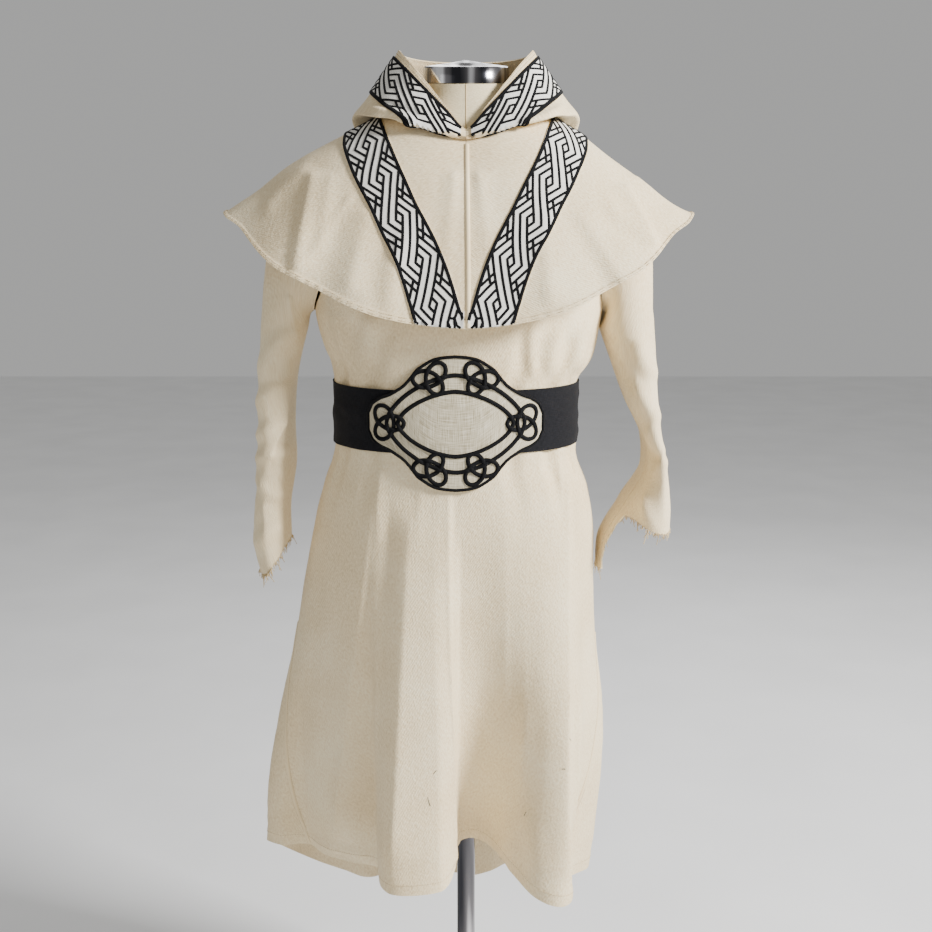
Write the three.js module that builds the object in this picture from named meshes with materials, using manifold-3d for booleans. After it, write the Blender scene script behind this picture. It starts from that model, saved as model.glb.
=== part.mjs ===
// A hooded druid robe worn by a limbless dress form on a pole stand, in millimetres, +Z up.
// The front faces -Y, +X is the right of somebody who looks at the front, and Z 0 is the floor below.
// The cloth is a wall cut as a dressmaker cuts it: a bodice with a front and a back, a skirt in four panels,
// two side gores, two sleeves with the right one in two halves, a two-piece shoulder cape, a two-piece hood
// that lies down on the back, four woven trims, a sash belt and its plate.
import * as THREE from "three";
import { mergeVertices } from "three/addons/utils/BufferGeometryUtils.js";
import Module from "manifold-3d";

const manifold = await Module();
manifold.setup();

// Driving dimensions
const CLOTH = 2;
const TRIM_CLOTH = 1.2;
const BELT_CLOTH = 2.5;
const PLATE_CLOTH = 3;
const SEAM_GAP = 0.3;
const LAY_GAP = 0.35;
const TRIM_WIDTH = 59;

// Small helpers
const rad = THREE.MathUtils.degToRad;
const clamp = THREE.MathUtils.clamp;
const mix = THREE.MathUtils.lerp;
const smooth = (t) => THREE.MathUtils.smoothstep(t, 0, 1);
const vec = (x, y, z) => new THREE.Vector3(x, y, z);
const signedPower = (value, power) => Math.sign(value) * Math.abs(value) ** power;
const range = (count, from, to) =>
  Array.from({ length: count + 1 }, (_, i) => mix(from, to, i / count));

// A row of a table at a fractional index, on a Catmull-Rom curve through each named column. Past the last
// row it goes straight on.
function rowAt(table, index) {
  const end = table.length - 1;
  if (index > end) {
    const row = {};
    for (const [column, value] of Object.entries(table[end])) {
      row[column] = value + (value - table[end - 1][column]) * (index - end);
    }
    return row;
  }
  const i = clamp(Math.floor(index), 0, table.length - 2);
  const t = clamp(index - i, 0, 1);
  const [before, from, to, after] = [i - 1, i, i + 1, i + 2].map(
    (k) => table[clamp(k, 0, table.length - 1)],
  );
  const row = {};
  for (const column of Object.keys(from)) {
    const slopeIn = (to[column] - before[column]) / 2;
    const slopeOut = (after[column] - from[column]) / 2;
    const t2 = t * t;
    const t3 = t2 * t;
    row[column] =
      (2 * t3 - 3 * t2 + 1) * from[column] +
      (t3 - 2 * t2 + t) * slopeIn +
      (3 * t2 - 2 * t3) * to[column] +
      (t3 - t2) * slopeOut;
  }
  return row;
}

// The fractional index at which a table's column reaches a value.
function indexWhere(table, column, value) {
  for (let i = 0; i < table.length - 1; i++) {
    const [a, b] = [table[i][column], table[i + 1][column]];
    if ((value - a) * (value - b) <= 0 && a !== b) {
      let [low, high] = [i, i + 1];
      for (let step = 0; step < 30; step++) {
        const middle = (low + high) / 2;
        const side = (rowAt(table, middle)[column] - value) * (a - value);
        if (side > 0) low = middle;
        else high = middle;
      }
      return (low + high) / 2;
    }
  }
  return value > Math.max(table[0][column], table.at(-1)[column])
    ? table.length - 1
    : 0;
}

// A soft bump, 1 at the middle and 0 at both sides of a fold.
const bump = (distance, halfWidth) =>
  Math.abs(distance) >= halfWidth
    ? 0
    : (1 + Math.cos((Math.PI * distance) / halfWidth)) / 2;
const turnBetween = (a, b) => ((((a - b) % 360) + 540) % 360) - 180;

// A closed wall on a grid of points. place(u, v) is the outer face, and the wall lies behind it.
// flip turns the outer face round where u and v run the other way.
function wall(place, us, vs, thickness, { closed = false, flip = false } = {}) {
  const step = 1e-3;
  const uEnds = [Math.min(us[0], us.at(-1)), Math.max(us[0], us.at(-1))];
  const [uLow, uHigh] = closed ? [-Infinity, Infinity] : uEnds;
  const [vLow, vHigh] = [Math.min(vs[0], vs.at(-1)), Math.max(vs[0], vs.at(-1))];
  const order = Math.sign(us.at(-1) - us[0]) * Math.sign(vs.at(-1) - vs[0]);
  const sign = flip ? -order : order;
  const columns = closed ? us.length - 1 : us.length;
  const outer = [];
  const inner = [];
  for (const v of vs) {
    for (let j = 0; j < columns; j++) {
      const u = us[j];
      const du = step * Math.abs(us.at(-1) - us[0]);
      const dv = step * (vHigh - vLow);
      const alongU = place(Math.min(u + du, uHigh), v).sub(place(Math.max(u - du, uLow), v));
      const alongV = place(u, Math.min(v + dv, vHigh)).sub(place(u, Math.max(v - dv, vLow)));
      const normal = alongU.cross(alongV).normalize().multiplyScalar(sign);
      const point = place(u, v);
      outer.push(point);
      inner.push(point.clone().addScaledVector(normal, -thickness));
    }
  }
  return shellOf(outer, inner, columns, vs.length, closed, flip);
}

// The closed body between two grids of points that have the same rows and columns.
function shellOf(outer, inner, columns, rows, closed, flip) {
  const offset = outer.length;
  const index = [];
  const quad = (a, b, c, d) => {
    if (flip) index.push(a, c, b, a, d, c);
    else index.push(a, b, c, a, c, d);
  };
  const at = (i, j) => i * columns + (j % columns);
  const lastColumn = closed ? columns : columns - 1;
  for (let i = 0; i < rows - 1; i++) {
    for (let j = 0; j < lastColumn; j++) {
      quad(at(i, j), at(i, j + 1), at(i + 1, j + 1), at(i + 1, j));
      quad(
        at(i, j) + offset,
        at(i + 1, j) + offset,
        at(i + 1, j + 1) + offset,
        at(i, j + 1) + offset,
      );
    }
  }
  for (let j = 0; j < lastColumn; j++) {
    quad(at(0, j), at(0, j) + offset, at(0, j + 1) + offset, at(0, j + 1));
    const last = rows - 1;
    quad(at(last, j + 1), at(last, j + 1) + offset, at(last, j) + offset, at(last, j));
  }
  if (!closed) {
    for (let i = 0; i < rows - 1; i++) {
      quad(at(i + 1, 0), at(i + 1, 0) + offset, at(i, 0) + offset, at(i, 0));
      const last = columns - 1;
      quad(at(i, last), at(i, last) + offset, at(i + 1, last) + offset, at(i + 1, last));
    }
  }
  const geometry = new THREE.BufferGeometry();
  const points = outer.concat(inner).flatMap((p) => [p.x, p.y, p.z]);
  geometry.setAttribute("position", new THREE.Float32BufferAttribute(points, 3));
  geometry.setIndex(index);
  geometry.computeVertexNormals();
  return geometry;
}

// A mesh as a solid that can be cut, and back.
function solidOf(geometry) {
  const bare = new THREE.BufferGeometry();
  bare.setAttribute("position", geometry.getAttribute("position"));
  bare.setIndex(geometry.index);
  const merged = mergeVertices(bare, 1e-4);
  const mesh = new manifold.Mesh({
    numProp: 3,
    vertProperties: new Float32Array(merged.attributes.position.array),
    triVerts: new Uint32Array(merged.index.array),
  });
  return new manifold.Manifold(mesh);
}
function geometryOf(solid) {
  const mesh = solid.getMesh();
  const geometry = new THREE.BufferGeometry();
  const positions = new Float32Array(mesh.numVert * 3);
  for (let i = 0; i < mesh.numVert; i++) {
    for (let k = 0; k < 3; k++) positions[3 * i + k] = mesh.vertProperties[mesh.numProp * i + k];
  }
  geometry.setAttribute("position", new THREE.BufferAttribute(positions, 3));
  geometry.setIndex(Array.from(mesh.triVerts));
  geometry.computeVertexNormals();
  return geometry;
}

// Dress form: closed rings, half width to each side, depth to the front and the back.
const FORM = [
  { z: 806, side: 120, front: 76, back: 78 },
  { z: 816, side: 150, front: 96, back: 98 },
  { z: 850, side: 162, front: 105, back: 110 },
  { z: 910, side: 168, front: 108, back: 115 },
  { z: 990, side: 158, front: 104, back: 105 },
  { z: 1090, side: 146, front: 101, back: 97 },
  { z: 1190, side: 155, front: 108, back: 104 },
  { z: 1290, side: 168, front: 118, back: 113 },
  { z: 1365, side: 180, front: 114, back: 117 },
  { z: 1418, side: 189, front: 100, back: 112 },
  { z: 1446, side: 187, front: 91, back: 104 },
  { z: 1464, side: 178, front: 84, back: 98 },
  { z: 1479, side: 160, front: 78, back: 92 },
  { z: 1493, side: 137, front: 73, back: 86 },
  { z: 1506, side: 114, front: 69, back: 79 },
  { z: 1518, side: 92, front: 65, back: 73 },
  { z: 1530, side: 72, front: 62, back: 66 },
  { z: 1542, side: 62, front: 60, back: 61 },
  { z: 1560, side: 57, front: 58, back: 57 },
];
const NECK_TILT = 14;
const formPoint = (turn, index) => {
  const row = rowAt(FORM, index);
  const [s, c] = [Math.sin(rad(turn)), Math.cos(rad(turn))];
  const tilt = smooth((row.z - 1530) / 30) * NECK_TILT;
  return vec(
    row.side * signedPower(s, 0.92),
    c > 0 ? -row.front * signedPower(c, 0.92) : -row.back * signedPower(c, 0.92),
    row.z - (c * tilt) / 2,
  );
};

// Robe body: rings of the cloth's outer face from the hem to the neck.
// left, right, front and back are where the ring reaches.
const ROBE = [
  { z: 428, left: -306, right: 196, front: -150, back: 164 },
  { z: 500, left: -305, right: 205, front: -148, back: 162 },
  { z: 590, left: -292, right: 212, front: -145, back: 158 },
  { z: 680, left: -274, right: 210, front: -143, back: 153 },
  { z: 770, left: -254, right: 197, front: -140, back: 147 },
  { z: 860, left: -238, right: 190, front: -137, back: 141 },
  { z: 940, left: -222, right: 187, front: -134, back: 134 },
  { z: 1000, left: -207, right: 176, front: -130, back: 126 },
  { z: 1040, left: -193, right: 160, front: -128, back: 119 },
  { z: 1066, left: -188, right: 159, front: -128, back: 118 },
  { z: 1110, left: -188, right: 159, front: -128, back: 118 },
  { z: 1152, left: -188, right: 159, front: -128, back: 118 },
  { z: 1180, left: -193, right: 177, front: -128, back: 124 },
  { z: 1206, left: -203, right: 185, front: -130, back: 127 },
  { z: 1255, left: -214, right: 192, front: -135, back: 129 },
  { z: 1315, left: -207, right: 197, front: -134, back: 129 },
  { z: 1372, left: -200, right: 198, front: -123, back: 126 },
  { z: 1422, left: -194, right: 194, front: -106, back: 117 },
  { z: 1449, left: -190, right: 190, front: -95, back: 107.5 },
  { z: 1467, left: -180.8, right: 180.8, front: -87, back: 101 },
  { z: 1482, left: -162.8, right: 162.8, front: -81, back: 95 },
  { z: 1496, left: -139.8, right: 139.8, front: -76, back: 89 },
  { z: 1509, left: -116.8, right: 116.8, front: -72, back: 82 },
  { z: 1521, left: -94.8, right: 94.8, front: -68, back: 76 },
];
// The hem, going round from the middle of the back by way of the left side and the front: the place on
// the ring, and where the hem's folds carry it.
const HEM = [
  { turn: -186, x: 5, y: 112, z: 306 },
  { turn: -174, x: -35, y: 140, z: 300 },
  { turn: -162, x: -80, y: 156, z: 297 },
  { turn: -150, x: -125, y: 136, z: 300 },
  { turn: -140, x: -162, y: 106, z: 306 },
  { turn: -129, x: -200, y: 116, z: 314 },
  { turn: -116, x: -248, y: 104, z: 338 },
  { turn: -103, x: -290, y: 60, z: 385 },
  { turn: -90, x: -309, y: 6, z: 428 },
  { turn: -76, x: -284, y: -14, z: 431 },
  { turn: -63, x: -244, y: -4, z: 427 },
  { turn: -53, x: -216, y: -32, z: 425 },
  { turn: -43, x: -172, y: -56, z: 424 },
  { turn: -34, x: -121, y: -78, z: 424 },
  { turn: -29, x: -126, y: -116, z: 424 },
  { turn: -23, x: -110, y: -143, z: 424 },
  { turn: -14, x: -75, y: -150, z: 425 },
  { turn: -6, x: -37, y: -138, z: 427 },
  { turn: -2, x: -27, y: -104, z: 434 },
  { turn: 4, x: -20, y: -62, z: 448 },
  { turn: 11, x: 8, y: -46, z: 457 },
  { turn: 19, x: 42, y: -60, z: 450 },
  { turn: 27, x: 68, y: -102, z: 436 },
  { turn: 37, x: 98, y: -142, z: 420 },
  { turn: 47, x: 130, y: -152, z: 411 },
  { turn: 55, x: 146, y: -132, z: 408 },
  { turn: 61, x: 141, y: -92, z: 402 },
  { turn: 67, x: 140, y: -52, z: 392 },
  { turn: 75, x: 160, y: -20, z: 380 },
  { turn: 85, x: 186, y: 14, z: 372 },
  { turn: 97, x: 196, y: 46, z: 362 },
  { turn: 111, x: 182, y: 84, z: 350 },
  { turn: 125, x: 148, y: 102, z: 335 },
  { turn: 139, x: 116, y: 136, z: 320 },
  { turn: 151, x: 74, y: 150, z: 310 },
  { turn: 162, x: 40, y: 124, z: 307 },
  { turn: 174, x: 5, y: 112, z: 306 },
  { turn: 186, x: -35, y: 140, z: 300 },
];
const FOLD_TOP = 1030;
const ROBE_BOX = 0.9;
const HEM_Z = ROBE[0].z;
// Gathers under and over the belt, all inward, so that the belt lies on a plain ring.
const GATHERS = [
  { turn: -62, depth: 7, half: 8 },
  { turn: -38, depth: 5, half: 7 },
  { turn: 24, depth: 5, half: 7 },
  { turn: 47, depth: 8, half: 8 },
  { turn: 68, depth: 8, half: 8 },
  { turn: 100, depth: 6, half: 8 },
  { turn: 140, depth: 7, half: 9 },
  { turn: 178, depth: 6, half: 9 },
  { turn: -142, depth: 7, half: 9 },
  { turn: -104, depth: 6, half: 8 },
];
const ringPoint = (row, turn, box) => {
  const [s, c] = [Math.sin(rad(turn)), Math.cos(rad(turn))];
  const middle = (row.left + row.right) / 2;
  const half = (row.right - row.left) / 2;
  const depth = c > 0 ? -row.front : row.back;
  return {
    x: middle + half * signedPower(s, box),
    y: -depth * signedPower(c, box),
    outX: s / half,
    outY: -c / depth,
  };
};
// What the hem's folds add to the plain ring, at a turn.
const plainRing = (row, turn) => {
  const ring = ringPoint(row, turn, ROBE_BOX);
  return vec(ring.x, ring.y, row.z);
};
const HEM_SHIFT = HEM.map((fold) => {
  const plain = plainRing(ROBE[0], fold.turn);
  return { turn: fold.turn, x: fold.x - plain.x, y: fold.y - plain.y, z: fold.z - plain.z };
});
const hemShift = (turn) => {
  const across = turn > 180 ? turn - 360 : turn < -180 ? turn + 360 : turn;
  const i = clamp(HEM_SHIFT.findIndex((fold) => fold.turn >= across), 1, HEM_SHIFT.length - 1);
  const [from, to] = [HEM_SHIFT[i - 1], HEM_SHIFT[i]];
  return rowAt(HEM_SHIFT, i - 1 + (across - from.turn) / (to.turn - from.turn));
};
const robePoint = (turn, index) => {
  const row = rowAt(ROBE, index);
  const ring = ringPoint(row, turn, ROBE_BOX);
  const near = bump(row.z - 1108, 190) * (1 - bump(row.z - 1108, 46) * 0.6);
  let reach = 0;
  for (const fold of GATHERS) {
    reach -= fold.depth * near * bump(turnBetween(turn, fold.turn), fold.half);
  }
  const length = Math.hypot(ring.outX, ring.outY);
  const shift = hemShift(turn);
  const share = clamp((FOLD_TOP - row.z) / (FOLD_TOP - HEM_Z), 0, 1);
  const [near1, near2] = [share ** 1.5, share ** 1.2];
  return vec(
    ring.x + (ring.outX / length) * reach + shift.x * near1,
    ring.y + (ring.outY / length) * reach + shift.y * near1,
    row.z + shift.z * near2,
  );
};

// Where the panels of the robe meet, in degrees from the front's middle.
const SIDE_SEAM = 90;
const GORE = { top: 790, frontHalf: 27, backHalf: 20 };
const ARMHOLE = { low: 1250, high: 1464, half: 27 };
const goreShare = (z) => clamp((GORE.top - z) / (GORE.top - HEM_Z), 0, 1);
const armholeHalf = (z) => {
  const middle = (ARMHOLE.low + ARMHOLE.high) / 2;
  const reach = (z - middle) / ((ARMHOLE.high - ARMHOLE.low) / 2);
  return Math.abs(reach) >= 1 ? 0 : ARMHOLE.half * Math.sqrt(1 - reach * reach);
};
const GAP_TURN = 0.09;
const robeZ = (index) => rowAt(ROBE, index).z;
const frontEdge = (index) => {
  const z = robeZ(index);
  return SIDE_SEAM - GAP_TURN - Math.max(armholeHalf(z), GORE.frontHalf * goreShare(z));
};
const backEdge = (index) => {
  const z = robeZ(index);
  return SIDE_SEAM + GAP_TURN + Math.max(armholeHalf(z), GORE.backHalf * goreShare(z));
};

// Turns that share out a ring's length evenly, so that a deep fold gets as many columns as it needs.
function evenTurns(from, to, count, index) {
  const fine = range(360, from, to);
  const lengths = [0];
  for (let i = 1; i < fine.length; i++) {
    const hem = robePoint(fine[i], index).distanceTo(robePoint(fine[i - 1], index));
    lengths.push(lengths[i - 1] + hem + (Math.abs(to - from) / 360) * 1.2);
  }
  return range(count, 0, lengths.at(-1)).map((want) => {
    const k = clamp(lengths.findIndex((l) => l >= want - 1e-9), 1, fine.length - 1);
    return mix(fine[k - 1], fine[k], (want - lengths[k - 1]) / (lengths[k] - lengths[k - 1]));
  });
}

// Rows of the robe by height, closer together at the shoulder.
const ROW_HEIGHTS = [
  428, 490, 560, 640, 725, 805, 880, 950, 1000, 1040, 1066, 1152, 1180, 1206, 1251, 1262, 1300, 1350, 1400,
  1445, 1463,
];
const ROW_INDEXES = ROW_HEIGHTS.map((z) => indexWhere(ROBE, "z", z));
const YOKE_INDEX = ROW_INDEXES.at(-1);
const YOKE_ROWS = 3;
// Bodice and skirt meet under the belt, where it hides the seam.
const WAIST_Z = 1109;
const SKIRT_TOP = indexWhere(ROBE, "z", WAIST_Z - SEAM_GAP / 2);
const BODICE_LOW = indexWhere(ROBE, "z", WAIST_Z + SEAM_GAP / 2);
const SKIRT_ROWS = ROW_INDEXES.filter((i) => i < SKIRT_TOP).concat(SKIRT_TOP);
const BODICE_ROWS = [BODICE_LOW, ...ROW_INDEXES.filter((i) => i > BODICE_LOW)].concat(
  range(YOKE_ROWS, YOKE_INDEX, YOKE_INDEX + 1).slice(1),
);

// One panel between two seams. It is stretched from its seam to its seam on every row, and its neck edge
// is cut lower at the front than at the shoulder. first and last are the columns that it spans.
function robePanel(leftEdge, rightEdge, neckIndex, columns, rows, first = 0, last = columns) {
  const [start, end] = [leftEdge(0), rightEdge(0)];
  const shares = evenTurns(start, end, columns, 0)
    .map((turn) => (turn - start) / (end - start))
    .slice(first, last + 1);
  const gapShare = GAP_TURN / (end - start);
  if (first > 0) shares[0] += gapShare;
  if (last < columns) shares[last - first] -= gapShare;
  const place = (share, row) => {
    const low = Math.min(row, YOKE_INDEX);
    const [from, to] = [leftEdge(low), rightEdge(low)];
    const turn = mix(from, to, share);
    const above = Math.max(row - YOKE_INDEX, 0);
    return robePoint(turn, low + above * (neckIndex(turn) - YOKE_INDEX));
  };
  return wall(place, shares, rows, CLOTH);
}
const NECK_Z = { shoulder: 1518, front: 1474, back: 1510 };
const [neckSide, neckFront, neckBack] = Object.values(NECK_Z).map((z) => indexWhere(ROBE, "z", z));
const neckIndexFront = (turn) => mix(neckSide, neckFront, Math.max(Math.cos(rad(turn)), 0) ** 1.2);
const neckIndexBack = (turn) => mix(neckSide, neckBack, Math.max(-Math.cos(rad(turn)), 0));
const FRONT_COLUMNS = 38;
const BACK_COLUMNS = 26;
// The skirt is joined down the deepest valley of its front and down the middle of its back.
const FRONT_JOIN = 23;
const BACK_JOIN = BACK_COLUMNS / 2;
const frontPanel = (rows, ...span) =>
  robePanel((i) => -frontEdge(i), frontEdge, neckIndexFront, FRONT_COLUMNS, rows, ...span);
const backPanel = (rows, ...span) =>
  robePanel(backEdge, (i) => 360 - backEdge(i), neckIndexBack, BACK_COLUMNS, rows, ...span);

// A gore fills the wedge between the front and the back at one side.
function sideGore(side) {
  const topIndex = indexWhere(ROBE, "z", GORE.top - 22);
  const columns = range(5, 0, 1);
  const rows = ROW_INDEXES.filter((i) => i < topIndex - 0.15).concat(topIndex);
  const place = (share, index) => {
    const [front, back] = [frontEdge(index) + 2 * GAP_TURN, backEdge(index) - 2 * GAP_TURN];
    return robePoint(side * mix(front, back, share), index);
  };
  return wall(place, columns, rows, CLOTH, { flip: side < 0 });
}

// Sleeves: a cap that leaves the armhole, then flattened rings down to the cuff.
// inner and outer are the ring's reach in X away from the body's middle, front and back its reach in Y,
// and twist turns the ring about its own middle.
const SLEEVE_LEFT = [
  { z: 1225, inner: 226, outer: 291, front: -60, back: 62, twist: 0 },
  { z: 1160, inner: 242, outer: 297, front: -58, back: 60, twist: 0 },
  { z: 1090, inner: 249, outer: 300, front: -52, back: 58, twist: 3 },
  { z: 1030, inner: 249, outer: 303, front: -50, back: 52, twist: 6 },
  { z: 970, inner: 258, outer: 307, front: -54, back: 50, twist: 4 },
  { z: 920, inner: 258, outer: 312, front: -56, back: 54, twist: 0 },
  { z: 872, inner: 257, outer: 304, front: -56, back: 56, twist: -4 },
];
const SLEEVE_RIGHT = [
  { z: 1225, inner: 190, outer: 266, front: -62, back: 62, twist: 0 },
  { z: 1180, inner: 207, outer: 270, front: -60, back: 62, twist: 0 },
  { z: 1125, inner: 228, outer: 274, front: -58, back: 62, twist: 0 },
  { z: 1062, inner: 258, outer: 282, front: -58, back: 60, twist: 2 },
  { z: 1015, inner: 257, outer: 287, front: -60, back: 58, twist: 8 },
  { z: 965, inner: 226, outer: 291, front: -66, back: 62, twist: 16 },
  { z: 920, inner: 199, outer: 292, front: -68, back: 66, twist: 18 },
  { z: 872, inner: 197, outer: 290, front: -70, back: 70, twist: 18 },
];
const SLEEVE_SEAM = 0.0012;
const sleeveRing = (table, side, index, around) => {
  const row = rowAt(table, index);
  const angle = around * Math.PI * 2;
  const middle = { x: (row.inner + row.outer) / 2, y: (row.front + row.back) / 2 };
  const x = (-(row.outer - row.inner) / 2) * Math.cos(angle);
  const y = (-(row.back - row.front) / 2) * signedPower(Math.sin(angle), 0.9);
  const [s, c] = [Math.sin(rad(row.twist)), Math.cos(rad(row.twist))];
  return vec(side * (middle.x + x * c - y * s), middle.y + x * s + y * c, row.z);
};
// The armhole's own curve on the robe, with share 0 under the arm and 0.5 at the shoulder.
const armholeMiddle = (ARMHOLE.low + ARMHOLE.high) / 2;
const armholeReach = (ARMHOLE.high - ARMHOLE.low) / 2;
function armholePoint(side, around, out) {
  const angle = around * Math.PI * 2;
  const z = armholeMiddle - (armholeReach - 1) * Math.cos(angle);
  const turn = SIDE_SEAM - ARMHOLE.half * 0.97 * Math.sin(angle);
  const point = robePoint(side * turn, indexWhere(ROBE, "z", z));
  return point.add(vec(side * out, 0, 0));
}
const CAP_OUT = 0.6;
// A sleeve, or the share of it between two places around its rings.
function sleeve(table, side, cuff, columns, first = 0, end = 1) {
  const last = table.length - 1;
  const capRows = 5;
  const place = (around, row) => {
    if (row < capRows) {
      const t = row / capRows;
      const start = armholePoint(side, around, CAP_OUT);
      const ring = sleeveRing(table, side, 0, around);
      const below = sleeveRing(table, side, 0.2, around).sub(ring).multiplyScalar(5);
      const reach = start.distanceTo(ring);
      const leave = vec(side * 0.9, 0, -0.44).multiplyScalar(reach * 1.25);
      const arrive = below.normalize().multiplyScalar(reach * 1.1);
      const [t2, t3] = [t * t, t * t * t];
      return start
        .multiplyScalar(2 * t3 - 3 * t2 + 1)
        .addScaledVector(leave, t3 - 2 * t2 + t)
        .addScaledVector(ring, 3 * t2 - 2 * t3)
        .addScaledVector(arrive, t3 - t2);
    }
    const down = (row - capRows) / last;
    const index = down * cuff(around) * last;
    return sleeveRing(table, side, index, around);
  };
  const around = range(columns, first + SLEEVE_SEAM, end - SLEEVE_SEAM);
  const rows = range(capRows, 0, capRows).concat(range(9, capRows, capRows + last).slice(1));
  return wall(place, around, rows, CLOTH, { flip: side > 0 });
}
// How far down its rings each cuff is cut: the left one slants to a point at the outside, and the right
// one is cut nearly level, but for a flap that hangs from the inner back.
const cuffLeft = (around) => 1 - 0.16 * bump(around, 0.42) - 0.16 * bump(around - 1, 0.42);
const cuffRight = (around) => {
  const flap = smooth((around - 0.74) / 0.1) + smooth((0.04 - around) / 0.04);
  return 0.8 - 0.065 * bump(around - 0.05, 0.25) + 0.2 * flap;
};

// Cape: rings from the neck seam to the hem.
const CAPE = [
  { left: -82, right: 82, zLeft: 1529, zRight: 1529, front: -86, zFront: 1480, back: 80, zBack: 1530 },
  { left: -106, right: 105, zLeft: 1520, zRight: 1519, front: -101, zFront: 1452, back: 95, zBack: 1508 },
  { left: -153, right: 154, zLeft: 1498, zRight: 1494, front: -116, zFront: 1422, back: 114, zBack: 1472 },
  { left: -202, right: 196, zLeft: 1474, zRight: 1463, front: -128, zFront: 1390, back: 128, zBack: 1434 },
  { left: -245, right: 238, zLeft: 1451, zRight: 1434, front: -139, zFront: 1355, back: 137, zBack: 1392 },
  { left: -287, right: 276, zLeft: 1418, zRight: 1405, front: -149, zFront: 1317, back: 145, zBack: 1346 },
  { left: -314, right: 298, zLeft: 1400, zRight: 1392, front: -158, zFront: 1278, back: 151, zBack: 1298 },
  { left: -336, right: 316, zLeft: 1386, zRight: 1384, front: -166, zFront: 1238, back: 156, zBack: 1248 },
];
const CAPE_FOLDS = [
  { turn: -66, depth: -7, half: 13 },
  { turn: -45, depth: 9, half: 13 },
  { turn: -20, depth: 6, half: 14 },
  { turn: 22, depth: 7, half: 14 },
  { turn: 43, depth: 8, half: 13 },
  { turn: 62, depth: -6, half: 12 },
  { turn: 118, depth: -12, half: 15 },
  { turn: 150, depth: 9, half: 15 },
  { turn: -152, depth: 10, half: 15 },
  { turn: -120, depth: -13, half: 15 },
];
const CAPE_LAST = CAPE.length - 1;
const CAPE_BOX = 0.9;
const capePoint = (turn, index) => {
  const row = rowAt(CAPE, index);
  const [s, c] = [Math.sin(rad(turn)), Math.cos(rad(turn))];
  const sideX = s > 0 ? row.right : -row.left;
  const sideZ = s > 0 ? row.zRight : row.zLeft;
  const [depth, middleZ] = c > 0 ? [-row.front, row.zFront] : [row.back, row.zBack];
  const share = clamp((index - 2.2) / (CAPE_LAST - 2.2), 0, 1.2) ** 1.5;
  let reach = 0;
  for (const fold of CAPE_FOLDS) {
    reach += fold.depth * share * bump(turnBetween(turn, fold.turn), fold.half);
  }
  const [outX, outY] = [s / sideX, -c / depth];
  const length = Math.hypot(outX, outY);
  return vec(
    sideX * signedPower(s, CAPE_BOX) + (outX / length) * reach,
    -depth * signedPower(c, CAPE_BOX) + (outY / length) * reach,
    mix(middleZ, sideZ, Math.abs(s) ** mix(1.3, 2.2, clamp(index / CAPE_LAST, 0, 1))) - reach * 0.25,
  );
};
// Moves one half of a two-piece part off the middle seam.
const offMiddle = (place, side) => (u, v) => place(u, v).add(vec(side * SEAM_GAP * 0.8, 0, 0));
const halfTurns = (side) => range(16, 0, 180).map((turn) => side * turn);
const CAPE_ROWS = range(12, 0, CAPE_LAST);
const capeHalf = (side) =>
  wall(offMiddle(capePoint, side), halfTurns(side), CAPE_ROWS, CLOTH, { flip: side > 0 });

// A point that stands off the cape's outer face.
function offCape(turn, index, out) {
  const step = 0.02;
  const low = Math.max(index - step, 0);
  const alongTurn = capePoint(turn + 0.5, index).sub(capePoint(turn - 0.5, index));
  const alongRow = capePoint(turn, Math.min(index + step, CAPE_LAST)).sub(capePoint(turn, low));
  const normal = alongRow.cross(alongTurn).normalize();
  return capePoint(turn, index).addScaledVector(normal, out);
}

// Hood: lies on the cape from the neck seam out to reach, turns over, and comes back up round the neck.
// Rows go round from the front's middle; R is the distance from the neck's axis. The bulge is the outside
// of the roll, the band is the lower edge of the trim, and the rim is the face edge.
const HOOD = [
  { turn: 0, reach: 0.05, bulgeR: 89, bulgeZ: 1483, bandR: 88, bandZ: 1486, rimR: 82, rimZ: 1493 },
  { turn: 20, reach: 0.12, bulgeR: 97, bulgeZ: 1487, bandR: 94, bandZ: 1496, rimR: 76, rimZ: 1523 },
  { turn: 40, reach: 0.3, bulgeR: 112, bulgeZ: 1500, bandR: 106, bandZ: 1510, rimR: 75, rimZ: 1551 },
  { turn: 65, reach: 1.0, bulgeR: 140, bulgeZ: 1512, bandR: 124, bandZ: 1530, rimR: 81, rimZ: 1582 },
  { turn: 90, reach: 1.5, bulgeR: 155, bulgeZ: 1516, bandR: 133, bandZ: 1544, rimR: 91, rimZ: 1603 },
  { turn: 115, reach: 2.1, bulgeR: 172, bulgeZ: 1500, bandR: 140, bandZ: 1545, rimR: 92, rimZ: 1599 },
  { turn: 145, reach: 3.8, bulgeR: 190, bulgeZ: 1440, bandR: 142, bandZ: 1542, rimR: 90, rimZ: 1597 },
  { turn: 180, reach: 4.8, bulgeR: 196, bulgeZ: 1400, bandR: 144, bandZ: 1540, rimR: 90, rimZ: 1597 },
];
const hoodRow = (turn) => {
  const across = Math.abs(turnBetween(turn, 0));
  const i = clamp(HOOD.findIndex((row) => row.turn >= across - 1e-9), 1, HOOD.length - 1);
  return rowAt(HOOD, i - 1 + (across - HOOD[i - 1].turn) / (HOOD[i].turn - HOOD[i - 1].turn));
};
const HOOD_OFF = LAY_GAP + TRIM_CLOTH + 3 * LAY_GAP;
const HOOD_BAND_SHARE = 0.82;
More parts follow.
